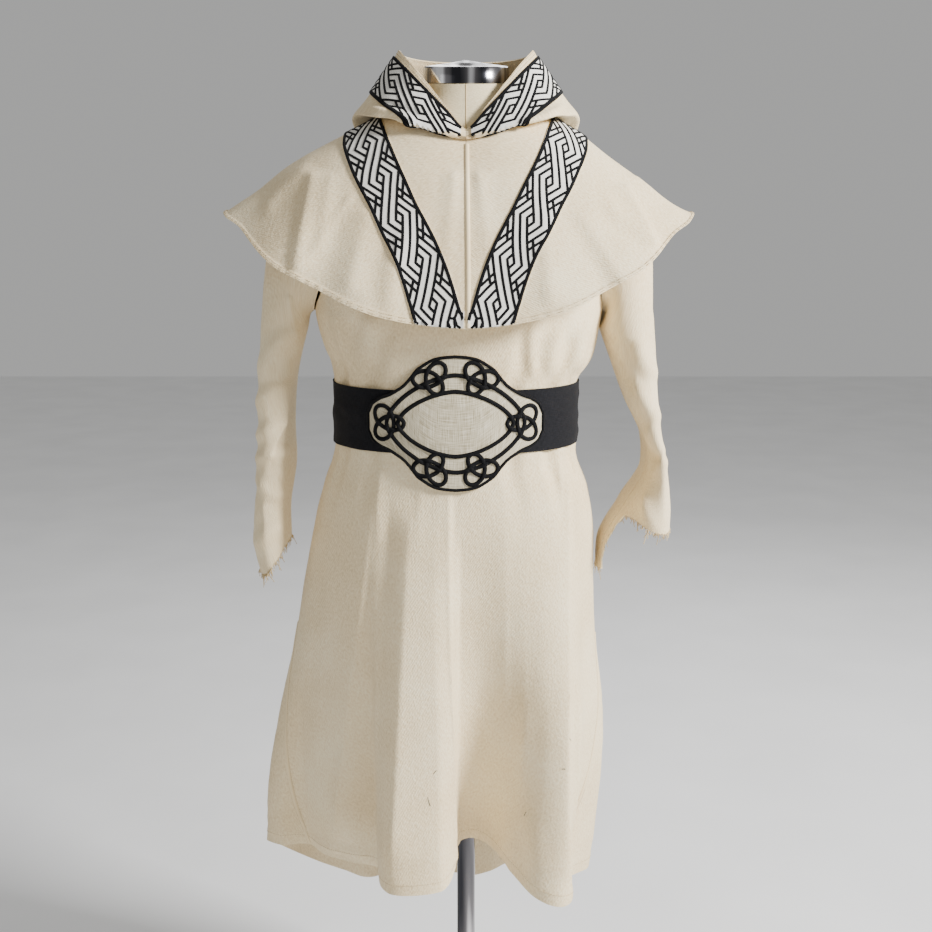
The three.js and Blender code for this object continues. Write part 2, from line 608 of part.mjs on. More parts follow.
function hoodPoint(turn, share) {
  const row = hoodRow(turn);
  const [s, c] = [Math.sin(rad(turn)), Math.cos(rad(turn))];
  const at = (r, z) => vec(r * s, -r * c, z);
  const tip = offCape(turn, row.reach, HOOD_OFF + 3 + row.reach);
  const bulge = at(row.bulgeR, row.bulgeZ);
  const away = vec(s, -c, -0.9).normalize();
  tip.addScaledVector(away, Math.min(6, bulge.distanceTo(tip) * 0.25));
  const stops = [
    { at: 0, point: offCape(turn, 0, HOOD_OFF) },
    { at: 0.12, point: offCape(turn, row.reach * 0.32, HOOD_OFF) },
    { at: 0.24, point: offCape(turn, row.reach * 0.65, HOOD_OFF + 0.6) },
    { at: 0.36, point: offCape(turn, row.reach * 0.93, HOOD_OFF + 1.6) },
    { at: 0.46, point: tip },
    { at: 0.64, point: bulge },
    { at: HOOD_BAND_SHARE, point: at(row.bandR, row.bandZ) },
    { at: 1, point: at(row.rimR, row.rimZ) },
  ];
  const i = clamp(stops.findIndex((stop) => stop.at >= share - 1e-9), 1, stops.length - 1);
  const [before, from, to, after] = [i - 2, i - 1, i, i + 1].map(
    (k) => stops[clamp(k, 0, stops.length - 1)],
  );
  const t = (share - from.at) / (to.at - from.at);
  const [t2, t3] = [t * t, t * t * t];
  const slopeIn = to.point.clone().sub(before.point).multiplyScalar(0.5);
  const slopeOut = after.point.clone().sub(from.point).multiplyScalar(0.5);
  return from.point
    .clone()
    .multiplyScalar(2 * t3 - 3 * t2 + 1)
    .addScaledVector(slopeIn, t3 - 2 * t2 + t)
    .addScaledVector(to.point, 3 * t2 - 2 * t3)
    .addScaledVector(slopeOut, t3 - t2);
}
const HOOD_ROWS = [0, 0.12, 0.24, 0.36, 0.42, 0.46, 0.54, 0.64, 0.73, 0.83, 0.875, 0.92, 0.965, 1];
const HOOD_TRIM_ROWS = HOOD_ROWS.slice(-5, -1);
const hoodHalf = (side) =>
  wall(offMiddle(hoodPoint, side), halfTurns(side), HOOD_ROWS, CLOTH, { flip: side < 0 });

// A point that stands off any surface place(u, v) on the side its u and v turn to.
function standOff(place, u, v, out, [uStep, vLow, vHigh, vStep]) {
  const alongU = place(u + uStep, v).sub(place(u - uStep, v));
  const alongV = place(u, Math.min(v + vStep, vHigh)).sub(place(u, Math.max(v - vStep, vLow)));
  return place(u, v).addScaledVector(alongU.cross(alongV).normalize(), out);
}

// Trim on the cape: a band of constant width whose middle runs from the hem's front up over the shoulder
// and in under the hood.
const CAPE_TRIM = [
  { turn: 3, index: 7.7 },
  { turn: 5.2, index: 6.6 },
  { turn: 8.8, index: 5.3 },
  { turn: 13, index: 4.45 },
  { turn: 19.8, index: 3.7 },
  { turn: 27.8, index: 3.08 },
  { turn: 39, index: 2.55 },
  { turn: 51, index: 2.2 },
  { turn: 68, index: 1.9 },
  { turn: 86, index: 1.75 },
  { turn: 104, index: 1.85 },
  { turn: 122, index: 2.2 },
];
const TRIM_OFF = LAY_GAP + TRIM_CLOTH;
// The turn and row of the cape that lie across from a point of the trim's middle line.
function trimSpot(across, along) {
  const middle = rowAt(CAPE_TRIM, along);
  const next = rowAt(CAPE_TRIM, Math.min(along + 0.05, CAPE_TRIM.length - 1));
  const last = rowAt(CAPE_TRIM, Math.max(along - 0.05, 0));
  const alongPath = capePoint(next.turn, next.index).sub(capePoint(last.turn, last.index)).normalize();
  const byTurn = capePoint(middle.turn + 0.5, middle.index)
    .sub(capePoint(middle.turn - 0.5, middle.index));
  const byIndex = capePoint(middle.turn, middle.index + 0.02)
    .sub(capePoint(middle.turn, middle.index - 0.02))
    .multiplyScalar(25);
  const normal = byIndex.clone().cross(byTurn).normalize();
  const sideways = normal.cross(alongPath).multiplyScalar((across * TRIM_WIDTH) / 2);
  const [a, b, c] = [byTurn.dot(byTurn), byTurn.dot(byIndex), byIndex.dot(byIndex)];
  const [p, q] = [sideways.dot(byTurn), sideways.dot(byIndex)];
  const det = a * c - b * b;
  return {
    turn: middle.turn + (p * c - q * b) / det,
    index: middle.index + (q * a - p * b) / det,
  };
}
// A sheet that lies all over half of the cape is cut to the trim's outline by a slab round its path.
const capeTrim = (side) => {
  const above = (turn, index) => offCape(turn, index, TRIM_OFF);
  const sheet = wall(offMiddle(above, side), halfTurns(side), CAPE_ROWS, TRIM_CLOTH, { flip: side > 0 });
  const slabOut = 14;
  const slabPlace = (across, along) => {
    const spot = trimSpot(across, along);
    return offCape(side * spot.turn, clamp(spot.index, 0.2, 9), slabOut);
  };
  const alongs = range(20, 0, CAPE_TRIM.length - 1);
  const slab = wall(slabPlace, range(2, -1, 1), alongs, 2 * slabOut, { flip: side > 0 });
  return geometryOf(solidOf(sheet).intersect(solidOf(slab)));
};

// Trim on the hood, between the roll and the turned face edge.
const hoodTrim = (side) => {
  const steps = [0.4, 0, 1, 0.004];
  const place = offMiddle((turn, share) => standOff(hoodPoint, turn, share, TRIM_OFF, steps), side);
  return wall(place, halfTurns(side).slice(1), HOOD_TRIM_ROWS, TRIM_CLOTH, { flip: side < 0 });
};

// Belt: a plain ring round the gathered waist, and the plate that lies on its front.
const BELT = { low: 1066, high: 1152, middle: 1110, off: SEAM_GAP };
function beltPoint(turn, z, out) {
  const row = rowAt(ROBE, indexWhere(ROBE, "z", z));
  const ring = ringPoint(row, turn, ROBE_BOX);
  const length = Math.hypot(ring.outX, ring.outY);
  return vec(ring.x + (ring.outX / length) * out, ring.y + (ring.outY / length) * out, z);
}
// The robe's own columns at the waist, so that the belt's facets lie level with the robe's.
const panelTurns = (leftEdge, rightEdge, columns) => {
  const [start, end] = [leftEdge(0), rightEdge(0)];
  const [from, to] = [leftEdge(BELT_INDEX), rightEdge(BELT_INDEX)];
  return evenTurns(start, end, columns, 0).map((turn) => mix(from, to, (turn - start) / (end - start)));
};
const BELT_INDEX = indexWhere(ROBE, "z", BELT.middle);
const FRONT_TURNS = panelTurns((i) => -frontEdge(i), frontEdge, FRONT_COLUMNS);
const BACK_TURNS = panelTurns(backEdge, (i) => 360 - backEdge(i), BACK_COLUMNS);
const belt = () => {
  const place = (turn, z) => beltPoint(turn, z, BELT.off + BELT_CLOTH);
  const turns = [...FRONT_TURNS, ...BACK_TURNS, FRONT_TURNS[0] + 360];
  return wall(place, turns, [BELT.low, BELT.high], BELT_CLOTH, { closed: true });
};
// Half the plate's height at a distance from its middle.
const PLATE = [
  { across: 0, half: 92 },
  { across: 28, half: 88 },
  { across: 50, half: 74 },
  { across: 64, half: 56 },
  { across: 72, half: 48 },
  { across: 86, half: 39 },
  { across: 100, half: 33 },
  { across: 110, half: 25 },
  { across: 117, half: 10 },
];
const PLATE_AT = { x: -14, z: 1108 };
const EDGE_ROOM = 4;
const CLOSEST_COLUMNS = 2.5;
const plateRow = rowAt(ROBE, BELT_INDEX);
// The plate's own bend: the waist's ring, at a distance out, for any x near the front.
function platePoint(x, z, out) {
  const middle = (plateRow.left + plateRow.right) / 2;
  const half = (plateRow.right - plateRow.left) / 2;
  const s = signedPower((x - middle) / half, 1 / ROBE_BOX);
  const turn = THREE.MathUtils.radToDeg(Math.asin(clamp(s, -1, 1)));
  const point = beltPoint(turn, BELT.middle, out);
  return vec(point.x, point.y, z);
}
const plate = () => {
  const out = BELT.off + BELT_CLOTH + SEAM_GAP + PLATE_CLOTH;
  const halfAt = (x) => {
    const across = Math.abs(x - PLATE_AT.x);
    const i = clamp(PLATE.findIndex((row) => row.across >= across), 1, PLATE.length - 1);
    const [from, to] = [PLATE[i - 1], PLATE[i]];
    return rowAt(PLATE, i - 1 + (across - from.across) / (to.across - from.across)).half;
  };
  const place = (x, share) => platePoint(x, PLATE_AT.z + share * halfAt(x), out);
  const reach = PLATE.at(-1).across;
  const [low, high] = [PLATE_AT.x - reach, PLATE_AT.x + reach];
  const shared = FRONT_TURNS.map((turn) => beltPoint(turn, BELT.middle, out).x).filter(
    (x) => x > low + EDGE_ROOM && x < high - EDGE_ROOM,
  );
  const edges = PLATE.slice(2, -1).flatMap((row) => [PLATE_AT.x - row.across, PLATE_AT.x + row.across]);
  const xs = [low, ...shared, ...edges, high]
    .sort((a, b) => a - b)
    .filter((x, i, list) => !i || x - list[i - 1] > CLOSEST_COLUMNS);
  return wall(place, xs, [-1, 0, 1], PLATE_CLOTH);
};

// Dress form: a closed solid from its underside to the neck, a bright cap, a pole and a round foot.
function closedRings(rings) {
  const columns = rings[0].length;
  const points = rings.flat();
  const index = [];
  for (let i = 0; i < rings.length - 1; i++) {
    for (let j = 0; j < columns; j++) {
      const [a, b] = [i * columns + j, i * columns + ((j + 1) % columns)];
      index.push(a, b, b + columns, a, b + columns, a + columns);
    }
  }
  const middleOf = (ring) =>
    ring.reduce((sum, p) => sum.add(p), vec(0, 0, 0)).multiplyScalar(1 / columns);
  const [bottom, top] = [points.length, points.length + 1];
  points.push(middleOf(rings[0]), middleOf(rings.at(-1)));
  const last = (rings.length - 1) * columns;
  for (let j = 0; j < columns; j++) {
    index.push(bottom, (j + 1) % columns, j);
    index.push(top, last + j, last + ((j + 1) % columns));
  }
  const geometry = new THREE.BufferGeometry();
  const numbers = points.flatMap((p) => [p.x, p.y, p.z]);
  geometry.setAttribute("position", new THREE.Float32BufferAttribute(numbers, 3));
  geometry.setIndex(index);
  geometry.computeVertexNormals();
  return geometry;
}
const ROUND = range(28, 0, 360).slice(0, -1);
const TORSO_RINGS = 15;
const torso = () => {
  const indexes = range(TORSO_RINGS, 0, FORM.length - 1);
  return closedRings(indexes.map((index) => ROUND.map((turn) => formPoint(turn, index))));
};
const CAP = [
  { up: SEAM_GAP, side: 58.5 },
  { up: 4, side: 59 },
  { up: 20, side: 58.5 },
  { up: 22, side: 56 },
  { up: 24, side: 38 },
  { up: 24.6, side: 12 },
];
const neckCap = () =>
  closedRings(
    CAP.map((row) =>
      ROUND.map((turn) => {
        const [s, c] = [Math.sin(rad(turn)), Math.cos(rad(turn))];
        return vec(row.side * s, -row.side * c, FORM.at(-1).z + row.up - (c * NECK_TILT) / 2);
      }),
    ),
  );
const turned = (profile, segments) => {
  const geometry = new THREE.LatheGeometry(
    profile.map(([radius, z]) => new THREE.Vector2(radius, z)),
    segments,
  );
  geometry.rotateX(Math.PI / 2);
  return geometry;
};
const POLE = { radius: 14, low: 44, high: FORM[0].z - SEAM_GAP };
const FOOT = { radius: 175, edge: 5, hub: 30, top: POLE.low - SEAM_GAP };
const pole = () => {
  const { radius, low, high } = POLE;
  return turned([[0, low], [radius, low], [radius, high], [0, high]], 24);
};
const foot = () =>
  turned(
    [
      [0, 0],
      [FOOT.radius, 0],
      [FOOT.radius, FOOT.edge],
      [FOOT.radius - 2, FOOT.edge + 2],
      [60, 12],
      [FOOT.hub, 16],
      [FOOT.hub - 4, FOOT.top],
      [0, FOOT.top],
    ],
    40,
  );

const group = new THREE.Group();
const materials = {
  canvas: new THREE.MeshStandardMaterial({ color: 0xd9cdb8, roughness: 0.95, metalness: 0 }),
  trim: new THREE.MeshStandardMaterial({ color: 0xe9e4d6, roughness: 0.9, metalness: 0 }),
  black: new THREE.MeshStandardMaterial({ color: 0x15151a, roughness: 0.85, metalness: 0 }),
  linen: new THREE.MeshStandardMaterial({ color: 0xcfc3a6, roughness: 0.95, metalness: 0 }),
  chrome: new THREE.MeshStandardMaterial({ color: 0xb8b8bd, roughness: 0.12, metalness: 1 }),
};
function add(name, geometry, material) {
  const mesh = new THREE.Mesh(geometry, materials[material]);
  mesh.name = name;
  group.add(mesh);
  return mesh;
}
add("bodice_front", frontPanel(BODICE_ROWS), "canvas");
add("bodice_back", backPanel(BODICE_ROWS), "canvas");
add("skirt_front_left", frontPanel(SKIRT_ROWS, 0, FRONT_JOIN), "canvas");
add("skirt_front_right", frontPanel(SKIRT_ROWS, FRONT_JOIN, FRONT_COLUMNS), "canvas");
add("skirt_back_right", backPanel(SKIRT_ROWS, 0, BACK_JOIN), "canvas");
add("skirt_back_left", backPanel(SKIRT_ROWS, BACK_JOIN, BACK_COLUMNS), "canvas");
add("robe_gore_left", sideGore(-1), "canvas");
add("robe_gore_right", sideGore(1), "canvas");
add("sleeve_left", sleeve(SLEEVE_LEFT, -1, cuffLeft, 18), "canvas");
add("sleeve_right_front", sleeve(SLEEVE_RIGHT, 1, cuffRight, 9, 0, 0.5), "canvas");
add("sleeve_right_back", sleeve(SLEEVE_RIGHT, 1, cuffRight, 9, 0.5, 1), "canvas");
add("cape_left", capeHalf(-1), "canvas");
add("cape_right", capeHalf(1), "canvas");
add("hood_left", hoodHalf(-1), "canvas");
add("hood_right", hoodHalf(1), "canvas");
add("cape_trim_left", capeTrim(-1), "trim");
add("cape_trim_right", capeTrim(1), "trim");
add("hood_trim_left", hoodTrim(-1), "trim");
add("hood_trim_right", hoodTrim(1), "trim");
add("belt_band", belt(), "black");
add("belt_plate", plate(), "linen");
add("form_torso", torso(), "canvas");
add("form_cap", neckCap(), "chrome");
add("form_pole", pole(), "chrome");
add("form_foot", foot(), "black");
export default group;
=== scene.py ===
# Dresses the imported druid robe: cloth with its folds and seams, knotwork trims, a corded belt plate, frayed
# cuffs and the dress form. Sizes are in millimetres here, and metres in Blender.
import math

import bpy
import numpy as np
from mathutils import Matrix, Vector


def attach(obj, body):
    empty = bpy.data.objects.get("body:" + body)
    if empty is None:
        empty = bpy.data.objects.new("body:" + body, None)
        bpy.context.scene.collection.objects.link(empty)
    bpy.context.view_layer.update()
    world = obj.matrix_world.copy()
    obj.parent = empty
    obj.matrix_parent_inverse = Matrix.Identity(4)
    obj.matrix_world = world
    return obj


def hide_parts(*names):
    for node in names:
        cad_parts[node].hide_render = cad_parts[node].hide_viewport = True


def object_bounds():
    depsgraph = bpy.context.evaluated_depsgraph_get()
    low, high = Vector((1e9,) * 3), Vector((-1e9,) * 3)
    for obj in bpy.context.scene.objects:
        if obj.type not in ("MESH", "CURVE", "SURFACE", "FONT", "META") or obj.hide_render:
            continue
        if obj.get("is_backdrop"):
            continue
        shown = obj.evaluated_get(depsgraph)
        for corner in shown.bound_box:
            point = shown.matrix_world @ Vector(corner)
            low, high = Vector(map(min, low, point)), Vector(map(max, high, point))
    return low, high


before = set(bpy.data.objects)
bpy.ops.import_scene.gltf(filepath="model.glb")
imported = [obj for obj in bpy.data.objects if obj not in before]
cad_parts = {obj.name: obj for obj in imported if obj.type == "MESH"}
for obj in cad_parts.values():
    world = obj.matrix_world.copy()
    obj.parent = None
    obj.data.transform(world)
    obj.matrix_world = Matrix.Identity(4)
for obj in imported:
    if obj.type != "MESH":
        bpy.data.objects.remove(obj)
cad_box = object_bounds()

# Driving sizes, the same as the solids' own
CLOTH = 2.0
TRIM_CLOTH = 1.2
BELT_CLOTH = 2.5
PLATE_CLOTH = 3.0
SEAM_GAP = 0.3
LAY_GAP = 0.35
TRIM_WIDTH = 59.0
TRIM_OFF = LAY_GAP + TRIM_CLOTH
MM = 0.001


# Tables and curves
class Table:
    """Rows with named columns, read on a Catmull-Rom curve between rows, and straight on past the end."""

    def __init__(self, names, rows):
        self.last = len(rows) - 1
        self.columns = dict(zip(names.split(), np.array(rows, float).T))

    def at(self, index):
        index = np.asarray(index, float)
        low = np.clip(np.floor(index).astype(int), 0, self.last - 1)
        t = np.clip(index - low, 0, 1)
        past = np.maximum(index - self.last, 0)
        row = {}
        for name, values in self.columns.items():
            before, start = values[np.maximum(low - 1, 0)], values[low]
            end, after = values[low + 1], values[np.minimum(low + 2, self.last)]
            row[name] = hermite(start, end, (end - before) / 2, (after - start) / 2, t)
            row[name] = row[name] + past * (values[-1] - values[-2])
        return row

    def where(self, name, value):
        fine = np.linspace(0, self.last, 4001)
        values = self.at(fine)[name]
        order = np.argsort(values)
        return np.interp(value, values[order], fine[order])

    def where_key(self, name, value):
        """The fractional row at a key column, straight from key to key."""
        return np.interp(value, self.columns[name], np.arange(self.last + 1))


def hermite(start, end, slope_in, slope_out, t):
    t2, t3 = t * t, t * t * t
    from_start = (2 * t3 - 3 * t2 + 1) * start + (t3 - 2 * t2 + t) * slope_in
    return from_start + (3 * t2 - 2 * t3) * end + (t3 - t2) * slope_out


def power(value, exponent):
    return np.sign(value) * np.abs(value) ** exponent


def bump(distance, half):
    near = np.abs(distance) < half
    return np.where(near, (1 + np.cos(math.pi * distance / half)) / 2, 0)


def smooth(t):
    t = np.clip(t, 0, 1)
    return t * t * (3 - 2 * t)


def turn_between(a, b):
    return (a - b + 540) % 360 - 180


def unit(v):
    return v / np.maximum(np.linalg.norm(v, axis=-1, keepdims=True), 1e-9)


def stack(x, y, z):
    return np.stack(np.broadcast_arrays(x, y, z), axis=-1)


def mix(a, b, t):
    return a + (b - a) * t


# Robe body
ROBE = Table("z left right front back", [
    (428, -306, 196, -150, 164),
    (500, -305, 205, -148, 162),
    (590, -292, 212, -145, 158),
    (680, -274, 210, -143, 153),
    (770, -254, 197, -140, 147),
    (860, -238, 190, -137, 141),
    (940, -222, 187, -134, 134),
    (1000, -207, 176, -130, 126),
    (1040, -193, 160, -128, 119),
    (1066, -188, 159, -128, 118),
    (1110, -188, 159, -128, 118),
    (1152, -188, 159, -128, 118),
    (1180, -193, 177, -128, 124),
    (1206, -203, 185, -130, 127),
    (1255, -214, 192, -135, 129),
    (1315, -207, 197, -134, 129),
    (1372, -200, 198, -123, 126),
    (1422, -194, 194, -106, 117),
    (1449, -190, 190, -95, 107.5),
    (1467, -180.8, 180.8, -87, 101),
    (1482, -162.8, 162.8, -81, 95),
    (1496, -139.8, 139.8, -76, 89),
    (1509, -116.8, 116.8, -72, 82),
    (1521, -94.8, 94.8, -68, 76),
])
HEM = Table("turn x y z", [
    (-186, 5, 112, 306), (-174, -35, 140, 300), (-162, -80, 156, 297), (-150, -125, 136, 300),
    (-140, -162, 106, 306), (-129, -200, 116, 314), (-116, -248, 104, 338), (-103, -290, 60, 385),
    (-90, -309, 6, 428), (-76, -284, -14, 431), (-63, -244, -4, 427), (-53, -216, -32, 425),
    (-43, -172, -56, 424), (-34, -121, -78, 424), (-29, -126, -116, 424), (-23, -110, -143, 424),
    (-14, -75, -150, 425), (-6, -37, -138, 427), (-2, -27, -104, 434), (4, -20, -62, 448),
    (11, 8, -46, 457), (19, 42, -60, 450), (27, 68, -102, 436), (37, 98, -142, 420),
    (47, 130, -152, 411), (55, 146, -132, 408), (61, 141, -92, 402), (67, 140, -52, 392),
    (75, 160, -20, 380), (85, 186, 14, 372), (97, 196, 46, 362), (111, 182, 84, 350),
    (125, 148, 102, 335), (139, 116, 136, 320), (151, 74, 150, 310), (162, 40, 124, 307),
    (174, 5, 112, 306), (186, -35, 140, 300),
])
# Tucks in the cloth above and below the belt: turn, depth, half the width in degrees
GATHERS = [
    (-62, 7, 8), (-38, 5, 7), (24, 5, 7), (47, 8, 8), (68, 8, 8), (100, 6, 8), (140, 7, 9), (178, 6, 9),
    (-142, 7, 9), (-104, 6, 8),
]
GATHER_REACH = 190
WAIST_Z = 1108
WAIST_REACH = 46
FOLD_TOP = 1030.0
HEM_Z = 428.0
BOX = 0.9


def ring(row, turn):
    s, c = np.sin(np.radians(turn)), np.cos(np.radians(turn))
    middle, half = (row["left"] + row["right"]) / 2, (row["right"] - row["left"]) / 2
    depth = np.where(c > 0, -row["front"], row["back"])
    out = unit(stack(s / half, -c / depth, 0 * s))
    return middle + half * power(s, BOX), -depth * power(c, BOX), out


def hem_table():
    turns = HEM.columns["turn"]
    row = {name: np.full(len(turns), values[0]) for name, values in ROBE.columns.items()}
    x, y, _ = ring(row, turns)
    shifts = zip(turns, HEM.columns["x"] - x, HEM.columns["y"] - y, HEM.columns["z"] - HEM_Z)
    return Table("turn x y z", list(shifts))


HEM_SHIFT = hem_table()


def robe_point(turn, index):
    turn, index = np.broadcast_arrays(np.asarray(turn, float), np.asarray(index, float))
    row = ROBE.at(index)
    x, y, out = ring(row, turn)
    from_waist = row["z"] - WAIST_Z
    near = bump(from_waist, GATHER_REACH) * (1 - bump(from_waist, WAIST_REACH) * 0.6)
    reach = -sum(depth * near * bump(turn_between(turn, at), half) for at, depth, half in GATHERS)
    across = np.where(turn > 180, turn - 360, np.where(turn < -180, turn + 360, turn))
    shift = HEM_SHIFT.at(HEM_SHIFT.where_key("turn", across))
    share = np.clip((FOLD_TOP - row["z"]) / (FOLD_TOP - HEM_Z), 0, 1)
    return stack(
        x + out[..., 0] * reach + shift["x"] * share**1.5,
        y + out[..., 1] * reach + shift["y"] * share**1.5,
        row["z"] + shift["z"] * share**1.2,
    )


SIDE_SEAM = 90.0
GORE = {"top": 790.0, "front": 27.0, "back": 20.0}
ARMHOLE = {"low": 1250.0, "high": 1464.0, "half": 27.0}
ARM_MIDDLE = (ARMHOLE["low"] + ARMHOLE["high"]) / 2
ARM_REACH = (ARMHOLE["high"] - ARMHOLE["low"]) / 2
GAP_TURN = 0.09
YOKE = float(ROBE.where("z", 1463))
NECK_TOP = 1518
NECK_LOW = {"front": 1474, "back": 1510}
NECK_SHARPNESS = {"front": 1.2, "back": 1.0}


def edge_turns(index):
    """Where the front and the back end at the side, as a distance from the front's middle."""
    z = ROBE.at(index)["z"]
    gore = np.clip((GORE["top"] - z) / (GORE["top"] - HEM_Z), 0, 1)
    reach = (z - ARM_MIDDLE) / ARM_REACH
    hole = ARMHOLE["half"] * np.sqrt(np.clip(1 - reach**2, 0, 1))
    front = SIDE_SEAM - GAP_TURN - np.maximum(hole, GORE["front"] * gore)
    back = SIDE_SEAM + GAP_TURN + np.maximum(hole, GORE["back"] * gore)
    return front, back


def even_shares(left, right, count, index=0.0):
    """Shares of a panel's turns that lie at even lengths along the cloth."""
    turns = np.linspace(left, right, 1441)
    steps = np.linalg.norm(np.diff(robe_point(turns, index), axis=0), axis=1)
    lengths = np.concatenate([[0], np.cumsum(steps + abs(right - left) / 1440 * 1.2)])
    return np.interp(np.linspace(0, lengths[-1], count + 1), lengths, np.linspace(0, 1, 1441))


def panel_grid(side, columns, rows):
    """Turns and rows of the front or the back, from its hem to its neck."""
    low_index = np.linspace(0, YOKE, rows)
    front, back = edge_turns(low_index)
    left, right = (-front, front) if side == "front" else (back, 360 - back)
    shares = even_shares(left[0], right[0], columns)
    body = mix(left[:, None], right[:, None], shares)
    top = mix(left[-1], right[-1], shares)
    c = np.cos(np.radians(top))
    reach = np.maximum(c if side == "front" else -c, 0) ** NECK_SHARPNESS[side]
    neck = mix(float(ROBE.where("z", NECK_TOP)), float(ROBE.where("z", NECK_LOW[side])), reach)
    above = np.linspace(0, 1, 13)[1:, None]
    yoke = YOKE + above * (neck - YOKE)[None, :]
    turns = np.concatenate([body, np.repeat(top[None, :], len(above), axis=0)])
    indexes = np.concatenate([np.repeat(low_index[:, None], columns + 1, axis=1), yoke])
    return turns, indexes


def gore_grid(side, columns, rows):
    index = np.linspace(0, float(ROBE.where("z", GORE["top"] - 22)), rows)
    front, back = edge_turns(index)
    shares = np.linspace(0, 1, columns + 1)
    turns = mix((front + 2 * GAP_TURN)[:, None], (back - 2 * GAP_TURN)[:, None], shares)
    return side * turns, np.repeat(index[:, None], columns + 1, axis=1)


# Sleeves
SLEEVES = {
    -1: Table("z inner outer front back twist", [
        (1225, 226, 291, -60, 62, 0), (1160, 242, 297, -58, 60, 0), (1090, 249, 300, -52, 58, 3),
        (1030, 249, 303, -50, 52, 6), (970, 258, 307, -54, 50, 4), (920, 258, 312, -56, 54, 0),
        (872, 257, 304, -56, 56, -4),
    ]),
    1: Table("z inner outer front back twist", [
        (1225, 190, 266, -62, 62, 0), (1180, 207, 270, -60, 62, 0), (1125, 228, 274, -58, 62, 0),
        (1062, 258, 282, -58, 60, 2), (1015, 257, 287, -60, 58, 8), (965, 226, 291, -66, 62, 16),
        (920, 199, 292, -68, 66, 18), (872, 197, 290, -70, 70, 18),
    ]),
}
CAP_OUT = 0.6


def sleeve_ring(side, index, around):
    row = SLEEVES[side].at(index)
    angle = around * 2 * math.pi
    x = -(row["outer"] - row["inner"]) / 2 * np.cos(angle)
    y = -(row["back"] - row["front"]) / 2 * power(np.sin(angle), 0.9)
    s, c = np.sin(np.radians(row["twist"])), np.cos(np.radians(row["twist"]))
    middle_x, middle_y = (row["inner"] + row["outer"]) / 2, (row["front"] + row["back"]) / 2
    return stack(side * (middle_x + x * c - y * s), middle_y + x * s + y * c, row["z"])


def cuff(side, around):
    """The share of the arm's length at which the raw cuff ends, at a place around the sleeve."""
    if side < 0:
        return 1 - 0.16 * bump(around, 0.42) - 0.16 * bump(around - 1, 0.42)
    flap = smooth((around - 0.74) / 0.1) + smooth((0.04 - around) / 0.04)
    return 0.8 - 0.065 * bump(around - 0.05, 0.25) + 0.2 * flap


def sleeve_point(side, around, row):
    """The cap from row 0 to 1, and the arm from row 1 to 2."""
    around, row = np.broadcast_arrays(np.asarray(around, float), np.asarray(row, float))
    angle = around * 2 * math.pi
    z = ARM_MIDDLE - (ARM_REACH - 1) * np.cos(angle)
    turn = SIDE_SEAM - ARMHOLE["half"] * 0.97 * np.sin(angle)
    start = robe_point(side * turn, ROBE.where("z", z)) + np.array([side * CAP_OUT, 0, 0])
    end = sleeve_ring(side, 0 * around, around)
    below = unit(sleeve_ring(side, 0.2 + 0 * around, around) - end)
    reach = np.linalg.norm(end - start, axis=-1)[..., None]
    leave = np.array([side * 0.9, 0, -0.44]) * reach * 1.25
    cap = hermite(start, end, leave, below * reach * 1.1, np.clip(row, 0, 1)[..., None])
    arm = sleeve_ring(side, np.maximum(row - 1, 0) * cuff(side, around) * SLEEVES[side].last, around)
    return np.where((row < 1)[..., None], cap, arm)


# Cape and hood
CAPE = Table("left right z_left z_right front z_front back z_back", [
    (-82, 82, 1529, 1529, -86, 1480, 80, 1530),
    (-106, 105, 1520, 1519, -101, 1452, 95, 1508),
    (-153, 154, 1498, 1494, -116, 1422, 114, 1472),
    (-202, 196, 1474, 1463, -128, 1390, 128, 1434),
    (-245, 238, 1451, 1434, -139, 1355, 137, 1392),
    (-287, 276, 1418, 1405, -149, 1317, 145, 1346),
    (-314, 298, 1400, 1392, -158, 1278, 151, 1298),
    (-336, 316, 1386, 1384, -166, 1238, 156, 1248),
])
# Turn, depth, half the width in degrees
CAPE_FOLDS = [
    (-66, -7, 13), (-45, 9, 13), (-20, 6, 14), (22, 7, 14), (43, 8, 13), (62, -6, 12), (118, -12, 15),
    (150, 9, 15), (-152, 10, 15), (-120, -13, 15),
]
CAPE_LAST = CAPE.last
CAPE_FLAT_TO = 2.2
CAPE_RISE = (1.3, 1.8)
CAPE_ROW = 40


def cape_point(turn, index):
    turn, index = np.broadcast_arrays(np.asarray(turn, float), np.asarray(index, float))
    row = CAPE.at(index)
    s, c = np.sin(np.radians(turn)), np.cos(np.radians(turn))
    side_x = np.where(s > 0, row["right"], -row["left"])
    side_z = np.where(s > 0, row["z_right"], row["z_left"])
    depth = np.where(c > 0, -row["front"], row["back"])
    middle_z = np.where(c > 0, row["z_front"], row["z_back"])
    share = np.clip((index - CAPE_FLAT_TO) / (CAPE_LAST - CAPE_FLAT_TO), 0, 1.2) ** 1.5
    reach = sum(deep * share * bump(turn_between(turn, at), half) for at, deep, half in CAPE_FOLDS)
    out = unit(stack(s / side_x, -c / depth, 0 * s))
    rise = np.abs(s) ** mix(*CAPE_RISE, np.clip(index / CAPE_LAST, 0, 1))
    return stack(
        side_x * power(s, BOX) + out[..., 0] * reach,
        -depth * power(c, BOX) + out[..., 1] * reach,
        mix(middle_z, side_z, rise) - reach * 0.25,
    )


def off_surface(place, u, v, out, du, dv, low, high):
    along_u = place(u + du, v) - place(u - du, v)
    along_v = place(u, np.minimum(v + dv, high)) - place(u, np.maximum(v - dv, low))
    return place(u, v) + unit(np.cross(along_u, along_v)) * out


def off_cape(turn, index, out):
    return off_surface(cape_point, turn, index, -out, 0.5, 0.02, 0, 99)


